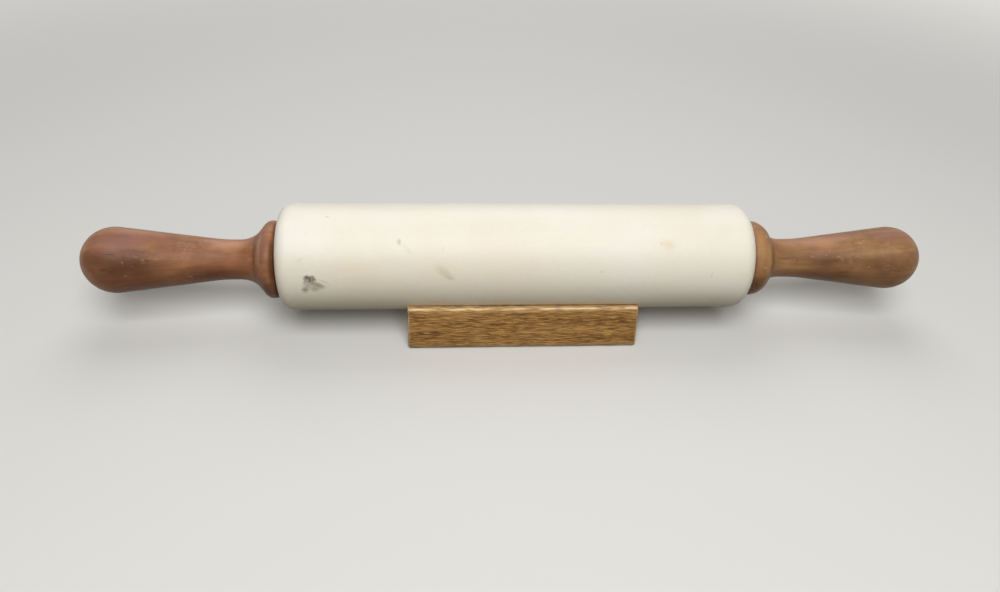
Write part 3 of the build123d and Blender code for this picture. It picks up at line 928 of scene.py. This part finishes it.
def turned_mahogany(side, handle, outline, crease):
    """Mahogany, turned, sanded and oiled: satin and smooth, with soft broad stripes and few open pores.

    The stripes are wood of slightly different hue, which runs along the handle. Hands have left the surface
    a little blotched.
    """
    direction, log, _, marks = HANDLE_SIDES[side]
    light = getattr(handle, f"{side}_light")
    dark = getattr(handle, f"{side}_dark")
    cast = getattr(handle, f"{side}_cast")
    check_marks(f"oiled_mahogany_{side}", marks)
    material, tree, shader, coordinates = new_material(f"oiled_mahogany_{side}")
    grain = add_node(
        tree, "ShaderNodeMapping", {"Vector": coordinates, "Location": log, "Rotation": MAHOGANY_LEAN}
    ).outputs[0]
    stripes = stretched_noise(tree, grain, along=60 * MM, across=5 * MM, Detail=5.0, Distortion=0.4)
    stripes = add_node(
        tree, "ShaderNodeMapRange", {"Value": stripes, "From Min": 0.3, "From Max": 0.7}
    ).outputs[0]
    tint = add_node(
        tree, "ShaderNodeMix", {0: stripes, BELOW: solid(light), ABOVE: solid(dark)}, data_type="RGBA"
    ).outputs[BLENDED]
    ruddy = stretched_noise(tree, grain, along=32 * MM, across=3.2 * MM, Detail=3.0, Distortion=0.5)
    ruddy = add_node(
        tree, "ShaderNodeMapRange", {"Value": ruddy, "From Min": 0.44, "From Max": 0.6, "To Max": 0.7}
    ).outputs[0]
    tint = add_node(
        tree, "ShaderNodeMix", {0: ruddy, BELOW: tint, ABOVE: solid(cast)}, data_type="RGBA"
    ).outputs[BLENDED]

    # Fibres are far finer than 0.8 mm, which is the finest that shows
    fibres = stretched_noise(tree, grain, along=12 * MM, across=0.8 * MM, Detail=4.0, Roughness=0.6)
    fibre_light = add_node(
        tree, "ShaderNodeMapRange", {"Value": fibres, "To Min": 0.8, "To Max": 1.2}
    ).outputs[0]
    tint = add_node(
        tree, "ShaderNodeVectorMath", {0: tint, "Scale": fibre_light}, operation="SCALE"
    ).outputs[0]
    handling = add_node(
        tree, "ShaderNodeTexNoise", {"Vector": grain, "Scale": 1 / (9 * MM), "Detail": 5.0}
    ).outputs[0]
    blotches = add_node(
        tree,
        "ShaderNodeMapRange",
        {"Value": handling, "From Min": 0.3, "From Max": 0.7, "To Min": 0.84, "To Max": 1.16},
    ).outputs[0]
    tint = add_node(tree, "ShaderNodeVectorMath", {0: tint, "Scale": blotches}, operation="SCALE").outputs[0]

    # Pores and pale flecks come in loose groups, where the handling has opened or chipped the wood
    groups = add_node(
        tree, "ShaderNodeMapRange", {"Value": handling, "From Min": 0.42, "From Max": 0.6}
    ).outputs[0]
    pores = pore_dashes(tree, grain, run=3.2 * MM, width=0.7 * MM, spread=0.35)
    pores = add_node(tree, "ShaderNodeMath", {0: pores, 1: groups}, operation="MULTIPLY").outputs[0]
    tint = lay_over(tree, tint, pores, PORE_STRENGTH, handle.pore)
    aside = add_node(tree, "ShaderNodeMapping", {"Vector": grain, "Location": FLECK_SHIFT}).outputs[0]
    flecks = pore_dashes(tree, aside, run=2.4 * MM, width=0.9 * MM, spread=0.2)
    flecks = add_node(tree, "ShaderNodeMath", {0: flecks, 1: groups}, operation="MULTIPLY").outputs[0]
    tint = lay_over(tree, tint, flecks, FLECK_STRENGTH, handle.fleck)

    # Painted shade darkens the collar's crease, with some grime settled there
    shaded_crease_x = direction * (HANDLE_PLACE + crease + CREASE_SHADE_SHIFT)
    along = add_node(tree, "ShaderNodeSeparateXYZ", {0: coordinates}).outputs["X"]
    beside = add_node(tree, "ShaderNodeMath", {0: along, 1: shaded_crease_x}, operation="SUBTRACT").outputs[0]
    beside = add_node(tree, "ShaderNodeMath", {0: beside}, operation="ABSOLUTE").outputs[0]
    crease_shade = add_node(
        tree, "ShaderNodeMapRange", {"Value": beside, "From Min": CREASE_SHADE_REACH, "From Max": 0.0}
    ).outputs[0]
    tint = lay_over(tree, tint, crease_shade, handling, handle.umber_and_shade)

    # Where hands have scuffed the finish, fine pale scratches show through it
    scratches = stretched_noise(tree, grain, along=3.4 * MM, across=1.2 * MM, Detail=3.0, Distortion=1.2)
    scratches = add_node(
        tree, "ShaderNodeMapRange", {"Value": scratches, "From Min": 0.52, "From Max": 0.66}
    ).outputs[0]
    # The marks paint wood tones, and also shade, sheen and highlights where light falls on a handle
    for shade, out, up, swing, half_length, half_width, rim, strength in marks:
        radius = surface_radius(handle, outline, out * MM)
        place = (direction * (HANDLE_PLACE + out * MM), math.radians(up), radius, AXLE_HEIGHT)
        size = (half_length * MM, half_width * MM)
        turn = direction * math.radians(swing)
        mark = surface_mark(tree, coordinates, place, turn, size, ragged=1.0, rim=rim)
        if shade == "scuff":
            shade = "fleck"
            mark = add_node(tree, "ShaderNodeMath", {0: mark, 1: scratches}, operation="MULTIPLY").outputs[0]
        tint = lay_over(tree, tint, mark, strength, getattr(handle, shade))
    tree.links.new(tint, shader.inputs["Base Color"])

    gloss = add_node(tree, "ShaderNodeMapRange", {"Value": fibres, "To Min": 0.38, "To Max": 0.5}).outputs[0]
    gloss = add_node(
        tree, "ShaderNodeMath", {0: pores, 1: PORE_ROUGHNESS, 2: gloss}, operation="MULTIPLY_ADD"
    ).outputs[0]
    tree.links.new(gloss, shader.inputs["Roughness"])
    height = add_node(tree, "ShaderNodeMath", {0: fibres, 1: pores}, operation="SUBTRACT").outputs[0]
    bump = add_node(
        tree, "ShaderNodeBump", {"Strength": 0.4, "Distance": 0.05 * MM, "Height": height}
    ).outputs[0]
    tree.links.new(bump, shader.inputs["Normal"])
    shader.inputs["IOR"].default_value = 1.5
    shader.inputs["Specular IOR Level"].default_value = 0.25
    return material


# The oak's grain leans a little from the block. Pores and rays show with their own strength. Use has made
# the arrises paler: a little on their shoulders, and much on their crowns, which are smoother too and carry
# a painted highlight.
OAK_LEAN = (0, math.radians(-1.2), math.radians(1.0))
OAK_PORE_STRENGTH = 0.84
RAY_STRENGTH = 0.6
SHOULDER_PALENESS = 0.22
CROWN_PALENESS_AND_HIGHLIGHT = 0.82
CROWN_ROUGHNESS = -0.12


def oiled_oak(cradle):
    """Oak, sawn, sanded and oiled: golden brown, with rows of long dark pores in each ring's early wood.

    The arrises, which the script marks on the mesh, are rubbed paler and smoother, and their crowns carry
    a painted highlight.
    """
    material, tree, shader, coordinates = new_material("oiled_oak")
    grain = add_node(tree, "ShaderNodeMapping", {"Vector": coordinates, "Rotation": OAK_LEAN}).outputs[0]
    reach = ring_distance(tree, grain, pith=(58 * MM, -64 * MM), waviness=7 * MM)
    bands = growth_bands(tree, grain, reach, ring_width=2.1 * MM, ring_run=55 * MM)
    early = add_node(
        tree, "ShaderNodeMapRange", {"Value": bands, "From Min": 0.36, "From Max": 0.62}
    ).outputs[0]
    tint = add_node(
        tree,
        "ShaderNodeMix",
        {0: early, BELOW: solid(cradle.light), ABOVE: solid(cradle.dark)},
        data_type="RGBA",
    ).outputs[BLENDED]
    fibres = stretched_noise(tree, grain, along=14 * MM, across=0.5 * MM, Detail=4.0, Roughness=0.65)
    fibre_light = add_node(
        tree, "ShaderNodeMapRange", {"Value": fibres, "To Min": 0.6, "To Max": 1.4}
    ).outputs[0]
    tint = add_node(
        tree, "ShaderNodeVectorMath", {0: tint, "Scale": fibre_light}, operation="SCALE"
    ).outputs[0]

    # Pores are near 0.3 mm wide, and are drawn at the width at which they run together
    streaks = stretched_noise(tree, grain, along=6 * MM, across=0.45 * MM, Detail=3.0, Roughness=0.6)
    short_pores = add_node(
        tree, "ShaderNodeMapRange", {"Value": streaks, "From Min": 0.53, "From Max": 0.58}
    ).outputs[0]
    long_pores = pore_dashes(tree, grain, run=10 * MM, width=1.1 * MM, spread=0.45)
    pores = add_node(
        tree, "ShaderNodeMath", {0: short_pores, 1: long_pores}, operation="MAXIMUM"
    ).outputs[0]
    rows = add_node(tree, "ShaderNodeMapRange", {"Value": early, "To Min": 0.55, "To Max": 1.0}).outputs[0]
    pores = add_node(tree, "ShaderNodeMath", {0: pores, 1: rows}, operation="MULTIPLY").outputs[0]
    tint = lay_over(tree, tint, pores, OAK_PORE_STRENGTH, cradle.pore)

    # Pale rays lie between the pores
    rays = add_node(
        tree, "ShaderNodeMapRange", {"Value": streaks, "From Min": 0.46, "From Max": 0.4}
    ).outputs[0]
    tint = lay_over(tree, tint, rays, RAY_STRENGTH, cradle.ray)

    # The crowns of the arrises are rubbed in patches, and their paler colour is also a painted highlight
    arris = add_node(tree, "ShaderNodeAttribute", attribute_name="arris").outputs["Fac"]
    patchy = stretched_noise(tree, coordinates, along=9 * MM, across=2 * MM, Detail=4.0)
    patchy = add_node(
        tree, "ShaderNodeMapRange", {"Value": patchy, "From Min": 0.4, "From Max": 0.62}
    ).outputs[0]
    shoulder = add_node(
        tree, "ShaderNodeMapRange", {"Value": arris, "From Min": 0.2, "From Max": 0.8}
    ).outputs[0]
    highlit_crown = add_node(
        tree, "ShaderNodeMapRange", {"Value": arris, "From Min": 0.84, "From Max": 0.96}
    ).outputs[0]
    rubbed = add_node(tree, "ShaderNodeMath", {0: highlit_crown, 1: patchy}, operation="MULTIPLY").outputs[0]
    paler = add_node(
        tree, "ShaderNodeMath", {0: shoulder, 1: SHOULDER_PALENESS}, operation="MULTIPLY"
    ).outputs[0]
    paler = add_node(
        tree, "ShaderNodeMath", {0: rubbed, 1: CROWN_PALENESS_AND_HIGHLIGHT, 2: paler}, operation="MULTIPLY_ADD"
    ).outputs[0]
    tint = add_node(
        tree, "ShaderNodeMix", {0: paler, BELOW: tint, ABOVE: solid(cradle.worn_and_highlit)}, data_type="RGBA"
    ).outputs[BLENDED]
    tree.links.new(tint, shader.inputs["Base Color"])

    gloss = add_node(tree, "ShaderNodeMapRange", {"Value": fibres, "To Min": 0.42, "To Max": 0.6}).outputs[0]
    gloss = add_node(
        tree, "ShaderNodeMath", {0: rubbed, 1: CROWN_ROUGHNESS, 2: gloss}, operation="MULTIPLY_ADD"
    ).outputs[0]
    tree.links.new(gloss, shader.inputs["Roughness"])
    height = add_node(tree, "ShaderNodeMath", {0: fibres, 1: pores}, operation="SUBTRACT").outputs[0]
    bump = add_node(
        tree, "ShaderNodeBump", {"Strength": 0.8, "Distance": 0.12 * MM, "Height": height}
    ).outputs[0]
    tree.links.new(bump, shader.inputs["Normal"])
    shader.inputs["IOR"].default_value = 1.5
    shader.inputs["Specular IOR Level"].default_value = 0.3
    return material


def turned_metal(name, shade, roughness):
    """Bar metal faced and turned on a lathe: fine rings about the axle that draw the light out."""
    material, tree, shader, coordinates = new_material(name)
    centred = add_node(
        tree, "ShaderNodeMapping", {"Vector": coordinates, "Location": (0, 0, -AXLE_HEIGHT)}
    ).outputs[0]
    radius = axis_distance(tree, centred)
    along = add_node(tree, "ShaderNodeSeparateXYZ", {0: coordinates}).outputs["X"]
    cut = add_node(tree, "ShaderNodeCombineXYZ", {"X": radius, "Y": along}).outputs[0]
    rings = add_node(
        tree, "ShaderNodeTexNoise", {"Vector": cut, "Scale": 1 / (0.25 * MM), "Detail": 2.0}
    ).outputs[0]
    tarnish = add_node(
        tree, "ShaderNodeTexNoise", {"Vector": coordinates, "Scale": 1 / (4 * MM), "Detail": 3.0}
    ).outputs[0]
    dull = add_node(
        tree, "ShaderNodeMapRange", {"Value": tarnish, "To Min": 0.8, "To Max": 1.05}
    ).outputs[0]
    tint = add_node(tree, "ShaderNodeVectorMath", {0: shade, "Scale": dull}, operation="SCALE").outputs[0]
    tree.links.new(tint, shader.inputs["Base Color"])
    gloss = add_node(
        tree,
        "ShaderNodeMapRange",
        {"Value": rings, "To Min": roughness - 0.08, "To Max": roughness + 0.12},
    ).outputs[0]
    tree.links.new(gloss, shader.inputs["Roughness"])
    bump = add_node(
        tree, "ShaderNodeBump", {"Strength": 0.4, "Distance": 0.01 * MM, "Height": rings}
    ).outputs[0]
    tree.links.new(bump, shader.inputs["Normal"])
    shader.inputs["Metallic"].default_value = 1.0
    return material


def moulded_nylon(fittings):
    """Natural nylon, injection moulded: waxy off-white with a faint spark texture and a yellowed cast."""
    material, tree, shader, coordinates = new_material("moulded_nylon")
    age = add_node(
        tree, "ShaderNodeTexNoise", {"Vector": coordinates, "Scale": 1 / (5 * MM), "Detail": 3.0}
    ).outputs[0]
    tint = add_node(
        tree,
        "ShaderNodeMix",
        {0: age, BELOW: solid(fittings.nylon), ABOVE: solid(fittings.aged_nylon)},
        data_type="RGBA",
    ).outputs[BLENDED]
    tree.links.new(tint, shader.inputs["Base Color"])
    texture = add_node(
        tree, "ShaderNodeTexNoise", {"Vector": coordinates, "Scale": 1 / (0.2 * MM), "Detail": 2.0}
    ).outputs[0]
    gloss = add_node(
        tree, "ShaderNodeMapRange", {"Value": texture, "To Min": 0.4, "To Max": 0.55}
    ).outputs[0]
    tree.links.new(gloss, shader.inputs["Roughness"])
    bump = add_node(
        tree, "ShaderNodeBump", {"Strength": 0.3, "Distance": 0.02 * MM, "Height": texture}
    ).outputs[0]
    tree.links.new(bump, shader.inputs["Normal"])
    shader.inputs["IOR"].default_value = 1.53
    return material


def seen_directly(tree):
    """1 for what the camera sees, itself or in gloss or glass, and 0 for light thrown back softly."""
    ray = add_node(tree, "ShaderNodeLightPath").outputs
    seen = add_node(
        tree, "ShaderNodeMath", {0: ray["Is Camera Ray"], 1: ray["Is Glossy Ray"]}, operation="MAXIMUM"
    ).outputs[0]
    return add_node(
        tree, "ShaderNodeMath", {0: seen, 1: ray["Is Transmission Ray"]}, operation="MAXIMUM"
    ).outputs[0]


def matt_board(stage):
    """Matt painted board: pale where the camera sees it.

    Light that it throws back on the object is much weaker, so that the undersides stay deep. Far from the
    object it fades out into the world behind it, so that no edge shows.
    """
    material, tree, shader, coordinates = new_material("matt_board")
    grain = add_node(
        tree, "ShaderNodeTexNoise", {"Vector": coordinates, "Scale": 1 / (2 * MM), "Detail": 3.0}
    ).outputs[0]
    gloss = add_node(
        tree, "ShaderNodeMapRange", {"Value": grain, "To Min": 0.85, "To Max": 0.95}
    ).outputs[0]
    tree.links.new(gloss, shader.inputs["Roughness"])
    seen = seen_directly(tree)
    tint = add_node(
        tree,
        "ShaderNodeMix",
        {0: seen, BELOW: solid(stage.shade), ABOVE: solid(stage.floor)},
        data_type="RGBA",
    ).outputs[BLENDED]
    tree.links.new(tint, shader.inputs["Base Color"])
    shader.inputs["Specular IOR Level"].default_value = 0.1
    away = add_node(tree, "ShaderNodeVectorMath", {0: coordinates}, operation="LENGTH").outputs["Value"]
    solidity = add_node(
        tree,
        "ShaderNodeMapRange",
        {"Value": away, "From Min": FLOOR_FADE_END, "From Max": FLOOR_FADE_START},
        interpolation_type="SMOOTHSTEP",
    ).outputs[0]
    tree.links.new(solidity, shader.inputs["Alpha"])
    return material


# The ends of the block are rounded less than the arrises that they meet, so that no corner folds over
END_ROUNDING_SHARE = 0.8

# The turn of the section at a point that counts as bent in full, and how many times the bends are softened
FULL_BEND = math.radians(6)
ARRIS_SOFTENINGS = 6

# Wear of the oak: the size and the depth of its slow unevenness. Then the size of the rubbed patches, their
# place in the noise, and how much of the rounding they add to it.
UNEVEN_SIZE = 17 * MM
UNEVEN_DEPTH = 0.04 * MM
RUB_SIZE = 7 * MM
RUB_PLACE = Vector((3, 1, 7))
RUB_SHARE = 0.18


def cradle_outline(cradle):
    """Closed section of the cradle as (depth, height), and how far each point is rounded at the ends.

    It runs from the bottom of the groove over the back land, down the back, under the foot and up the front.
    """
    axis = BARREL_HEIGHT
    arris = cradle.arris_radius
    lean = math.atan2(cradle.height, cradle.foot_spread)
    foot_turn = math.pi - lean
    foot_cut = arris * math.tan(foot_turn / 2)
    foot_half = cradle.foot_depth / 2 - arris + foot_cut
    top_half = foot_half - cradle.foot_spread
    lip_height = cradle.height - cradle.lip_radius
    climb = math.acos((axis - lip_height) / (cradle.groove_radius + cradle.lip_radius))

    pen = Pen(0, axis - cradle.groove_radius, ROUND_STEP)
    pen.bend(cradle.groove_radius, climb)
    pen.bend(cradle.lip_radius, -climb)
    lip_end = len(pen.points)
    pen.line(top_half - arris * math.tan(lean / 2), cradle.height)
    land_end = len(pen.points)
    pen.bend(arris, -lean)
    pen.line(foot_half - foot_cut * math.cos(lean), foot_cut * math.sin(lean))
    pen.bend(arris, -foot_turn)
    pen.step = FLAT_STEP
    pen.line(0, 0)

    # The rounding of the ends is fine along the groove, grows over the land and is full from there on
    fine = END_ROUNDING_SHARE * cradle.lip_radius
    full = END_ROUNDING_SHARE * arris
    land = land_end - lip_end
    eases = [fine] * lip_end
    eases += [fine + (full - fine) * (i + 1) / land for i in range(land)]
    eases += [full] * (len(pen.points) - land_end)
    mirrored = [Vector((-p.x, p.y)) for p in reversed(pen.points[1:-1])]
    return pen.points + mirrored, eases + eases[-2:0:-1]


def section_bends(outline):
    """The way inwards at each point of a closed section, and how far it is bent there, from 0 to 1."""
    count = len(outline)
    inward = []
    bent = []
    for i in range(count):
        before = outline[i] - outline[i - 1]
        after = outline[(i + 1) % count] - outline[i]
        along = (before.normalized() + after.normalized()).normalized()
        inward.append(Vector((along.y, -along.x)))
        bent.append(min(1.0, before.angle(after) / FULL_BEND))
    for _ in range(ARRIS_SOFTENINGS):
        bent = [(bent[i - 1] + 2 * bent[i] + bent[(i + 1) % count]) / 4 for i in range(count)]
    return inward, bent


def wear(place, inward, rounding):
    """How far use has moved a point of the oak inwards: a little all over, and more where it is rounded."""
    slow = noise.noise(place / UNEVEN_SIZE) * UNEVEN_DEPTH
    rub = max(0.0, noise.noise(place / RUB_SIZE + RUB_PLACE)) * rounding * RUB_SHARE
    return inward * (abs(slow) + rub)


def build_cradle(cradle, material):
    """Makes the cradle's mesh: rings of the section along X, drawn in at the ends, with some wear."""
    outline, eases = cradle_outline(cradle)
    inward, bent = section_bends(outline)
    count = len(outline)
    middle = (CRADLE_LOW.x + CRADLE_HIGH.x) / 2
    half = cradle.length / 2

    # Each ring's place along the straight part of the block, from -1 to 1, and its turn round the end arris
    straight = [(i / CRADLE_CUTS, 0.0) for i in range(-CRADLE_CUTS, CRADLE_CUTS + 1)]
    left_end = [(-1.0, -math.pi / 2 * i / ARC_CUTS) for i in range(ARC_CUTS, 0, -1)]
    right_end = [(1.0, math.pi / 2 * i / ARC_CUTS) for i in range(1, ARC_CUTS + 1)]

    made = bmesh.new()
    arris_layer = made.verts.layers.float.new("arris")
    rings = []
    for way_along, turn in left_end + straight + right_end:
        ring = []
        for i in range(count):
            reach = way_along * (half - eases[i]) + eases[i] * math.sin(turn)
            point = outline[i] + inward[i] * eases[i] * (1 - math.cos(turn))
            place = Vector((middle + reach, point.x, point.y))
            edge = max(bent[i] if eases[i] > cradle.lip_radius else 0.0, abs(math.sin(2 * turn)))
            place += wear(place, Vector((0, inward[i].x, inward[i].y)), edge * eases[i])
            vertex = made.verts.new(place)
            vertex[arris_layer] = edge
            ring.append(vertex)
        rings.append(ring)
    for ring, following in zip(rings, rings[1:]):
        for i in range(count):
            j = (i + 1) % count
            made.faces.new((ring[i], ring[j], following[j], following[i]))
    made.faces.new(rings[0])
    made.faces.new(reversed(rings[-1]))
    bmesh.ops.remove_doubles(made, verts=made.verts, dist=WELD)
    bmesh.ops.recalc_face_normals(made, faces=made.faces)
    ends = [f for f in made.faces if len(f.verts) > 4]
    bmesh.ops.triangulate(made, faces=ends)
    for face in made.faces:
        face.smooth = True
    mesh = bpy.data.meshes.new("cradle_block")
    made.to_mesh(mesh)
    made.free()
    mesh.set_sharp_from_angle(angle=SMOOTH_ANGLE)
    mesh.materials.append(material)
    check_closed("cradle_block", mesh)
    return link_object("cradle_block", mesh)


class ROLLINGPIN_OT_barrel(bpy.types.Operator):
    """Turn the marble barrel and give it its honed finish"""

    bl_idname = "rolling_pin.barrel"
    bl_label = "Marble Barrel"

    def execute(self, context):
        barrel = context.scene.rolling_pin_barrel
        inputs = {
            "Segments": barrel.segments,
            "Bore Radius": barrel.seat_radius + barrel.seat_bevel,
            "Wander Depth": 0.12 * MM,
            "Wander Size": 45 * MM,
            "Seed": 3,
            "Place": (0, 0, BARREL_HEIGHT),
            "Material": honed_marble(barrel),
        }
        stone = turn_piece("barrel_stone", barrel_outline(barrel), inputs)
        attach(stone, "barrel")
        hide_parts("barrel")
        return {"FINISHED"}


class ROLLINGPIN_OT_handles(bpy.types.Operator):
    """Turn the two mahogany handles, each from its own piece of the log"""

    bl_idname = "rolling_pin.handles"
    bl_label = "Turned Handles"

    def execute(self, context):
        handle = context.scene.rolling_pin_handles
        for side, (direction, _, seed, _) in HANDLE_SIDES.items():
            outline, crease = handle_outline(handle, side)
            inputs = {
                "Segments": handle.segments,
                "Bore Radius": handle.seat_radius,
                "Wander Depth": 0.35 * MM,
                "Wander Size": 26 * MM,
                "Tool Ring Depth": 0.01 * MM,
                "Tool Ring Pitch": 3.1 * MM,
                "Seed": seed,
                "Place": (direction * HANDLE_PLACE, 0, AXLE_HEIGHT),
                "Turn Round": (0, 0, 0 if direction > 0 else math.pi),
                "Material": turned_mahogany(side, handle, outline, crease),
            }
            grip = turn_piece(f"{side}_grip", outline, inputs)
            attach(grip, "handles")
            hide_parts(f"{side}_handle")
        return {"FINISHED"}


class ROLLINGPIN_OT_cradle(bpy.types.Operator):
    """Cut the oak cradle with its groove and its eased arrises"""

    bl_idname = "rolling_pin.cradle"
    bl_label = "Oak Cradle"

    def execute(self, context):
        cradle = context.scene.rolling_pin_cradle
        block = build_cradle(cradle, oiled_oak(cradle))
        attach(block, "cradle")
        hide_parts("cradle")
        return {"FINISHED"}


class ROLLINGPIN_OT_fittings(bpy.types.Operator):
    """Finish the axle rod, its bushes, its washers and the handles' inserts"""

    bl_idname = "rolling_pin.fittings"
    bl_label = "Axle Fittings"

    def execute(self, context):
        fittings = context.scene.rolling_pin_fittings
        steel = turned_metal("turned_steel", fittings.steel, roughness=0.32)
        brass = turned_metal("turned_brass", fittings.brass, roughness=0.3)
        nylon = moulded_nylon(fittings)
        finishes = {
            "axle_rod": steel,
            "left_washer": steel,
            "right_washer": steel,
            "left_insert": brass,
            "right_insert": brass,
            "left_bush": nylon,
            "right_bush": nylon,
        }
        for name, material in finishes.items():
            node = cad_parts[name]
            for slot in node.material_slots:
                slot.material = material
        return {"FINISHED"}


class ROLLINGPIN_OT_stage(bpy.types.Operator):
    """Set up the camera, the soft studio light and the pale floor"""

    bl_idname = "rolling_pin.stage"
    bl_label = "Stage"

    def execute(self, context):
        stage = context.scene.rolling_pin_stage
        add_camera(context.scene, stage)
        add_floor(stage)
        add_softbox("key_softbox", FRONT, stage.key_rise, stage.key_power, stage.key_colour)
        add_softbox("low_softbox", FRONT, stage.low_rise, stage.low_power, stage.low_colour)
        add_softbox("back_softbox", BACK, stage.back_rise, stage.back_power, stage.back_colour)
        context.scene.world = even_sky(stage)
        context.scene.view_settings.view_transform = "Standard"
        return {"FINISHED"}


def add_camera(scene, stage):
    """A camera at the viewing angle of the photograph."""
    data = bpy.data.cameras.new("camera")
    data.lens = stage.lens
    data.sensor_width = SENSOR_WIDTH
    data.clip_start = CLIP_START
    camera = bpy.data.objects.new("camera", data)
    scene.collection.objects.link(camera)
    heading = Matrix.Rotation(-stage.heading, 4, "Z")
    dip = Matrix.Rotation(math.pi / 2 - stage.dip, 4, "X")
    roll = Matrix.Rotation(stage.roll, 4, "Z")
    camera.matrix_world = Matrix.Translation(CAMERA_PLACE) @ heading @ dip @ roll
    scene.camera = camera


def add_floor(stage):
    """A wide flat floor just under the cradle's foot."""
    half = FLOOR_HALF_WIDTH
    mesh = bpy.data.meshes.new("floor")
    corners = [(-half, -half), (half, -half), (half, half), (-half, half)]
    mesh.from_pydata([(x, y, FLOOR_HEIGHT) for x, y in corners], [], [(0, 1, 2, 3)])
    mesh.materials.append(matt_board(stage))
    link_object("floor", mesh)


def add_softbox(name, side, rise, watts, shade):
    """A square soft lamp in front of the pin or behind it. It looks at the pin and isn't seen itself."""
    data = bpy.data.lights.new(name, "AREA")
    data.shape = "SQUARE"
    data.size = LAMP_SIZE
    data.energy = watts
    data.color = shade
    lamp = bpy.data.objects.new(name, data)
    bpy.context.scene.collection.objects.link(lamp)
    way = Vector((0, side * math.cos(rise), math.sin(rise)))
    lamp.location = Vector((0, 0, BARREL_HEIGHT)) + way * LAMP_DISTANCE
    lamp.rotation_euler = way.to_track_quat("Z", "Y").to_euler()
    lamp.visible_camera = False


def even_sky(stage):
    """A world of even light. The camera, gloss and glass see it pale."""
    world = bpy.data.worlds.new("even_sky")
    world.use_nodes = True
    tree = world.node_tree
    background = tree.nodes["Background"]
    background.inputs["Color"].default_value = solid(stage.sky_colour)
    seen = seen_directly(tree)
    strength = add_node(
        tree, "ShaderNodeMapRange", {"Value": seen, "To Min": stage.sky, "To Max": stage.backdrop}
    ).outputs[0]
    tree.links.new(strength, background.inputs["Strength"])
    return world


class VIEW3D_PT_rolling_pin(bpy.types.Panel):
    """Lists the pieces of the rolling pin with their sizes and colours"""

    bl_idname = "VIEW3D_PT_rolling_pin"
    bl_label = "Rolling Pin"
    bl_space_type = "VIEW_3D"
    bl_region_type = "UI"
    bl_category = "Rolling Pin"

    def draw(self, context):
        for operator, name, _ in STEPS:
            box = self.layout.box()
            box.operator(operator.bl_idname)
            settings = getattr(context.scene, name)
            for setting in settings.__annotations__:
                box.prop(settings, setting)


# Each step: its operator, and the name and the class of its settings
STEPS = (
    (ROLLINGPIN_OT_barrel, "rolling_pin_barrel", RollingPinBarrel),
    (ROLLINGPIN_OT_handles, "rolling_pin_handles", RollingPinHandles),
    (ROLLINGPIN_OT_cradle, "rolling_pin_cradle", RollingPinCradle),
    (ROLLINGPIN_OT_fittings, "rolling_pin_fittings", RollingPinFittings),
    (ROLLINGPIN_OT_stage, "rolling_pin_stage", RollingPinStage),
)


def register():
    """Registers the settings, the operators and the panel."""
    for operator, name, group in STEPS:
        bpy.utils.register_class(group)
        setattr(bpy.types.Scene, name, PointerProperty(type=group))
        bpy.utils.register_class(operator)
    bpy.utils.register_class(VIEW3D_PT_rolling_pin)


def unregister():
    """Takes back what register added, in the opposite order."""
    bpy.utils.unregister_class(VIEW3D_PT_rolling_pin)
    for operator, name, group in reversed(STEPS):
        bpy.utils.unregister_class(operator)
        delattr(bpy.types.Scene, name)
        bpy.utils.unregister_class(group)


def main():
    """Builds every piece and the stage."""
    register()
    bpy.ops.rolling_pin.barrel()
    bpy.ops.rolling_pin.handles()
    bpy.ops.rolling_pin.cradle()
    bpy.ops.rolling_pin.fittings()
    bpy.ops.rolling_pin.stage()


if __name__ == "__main__":
    main()
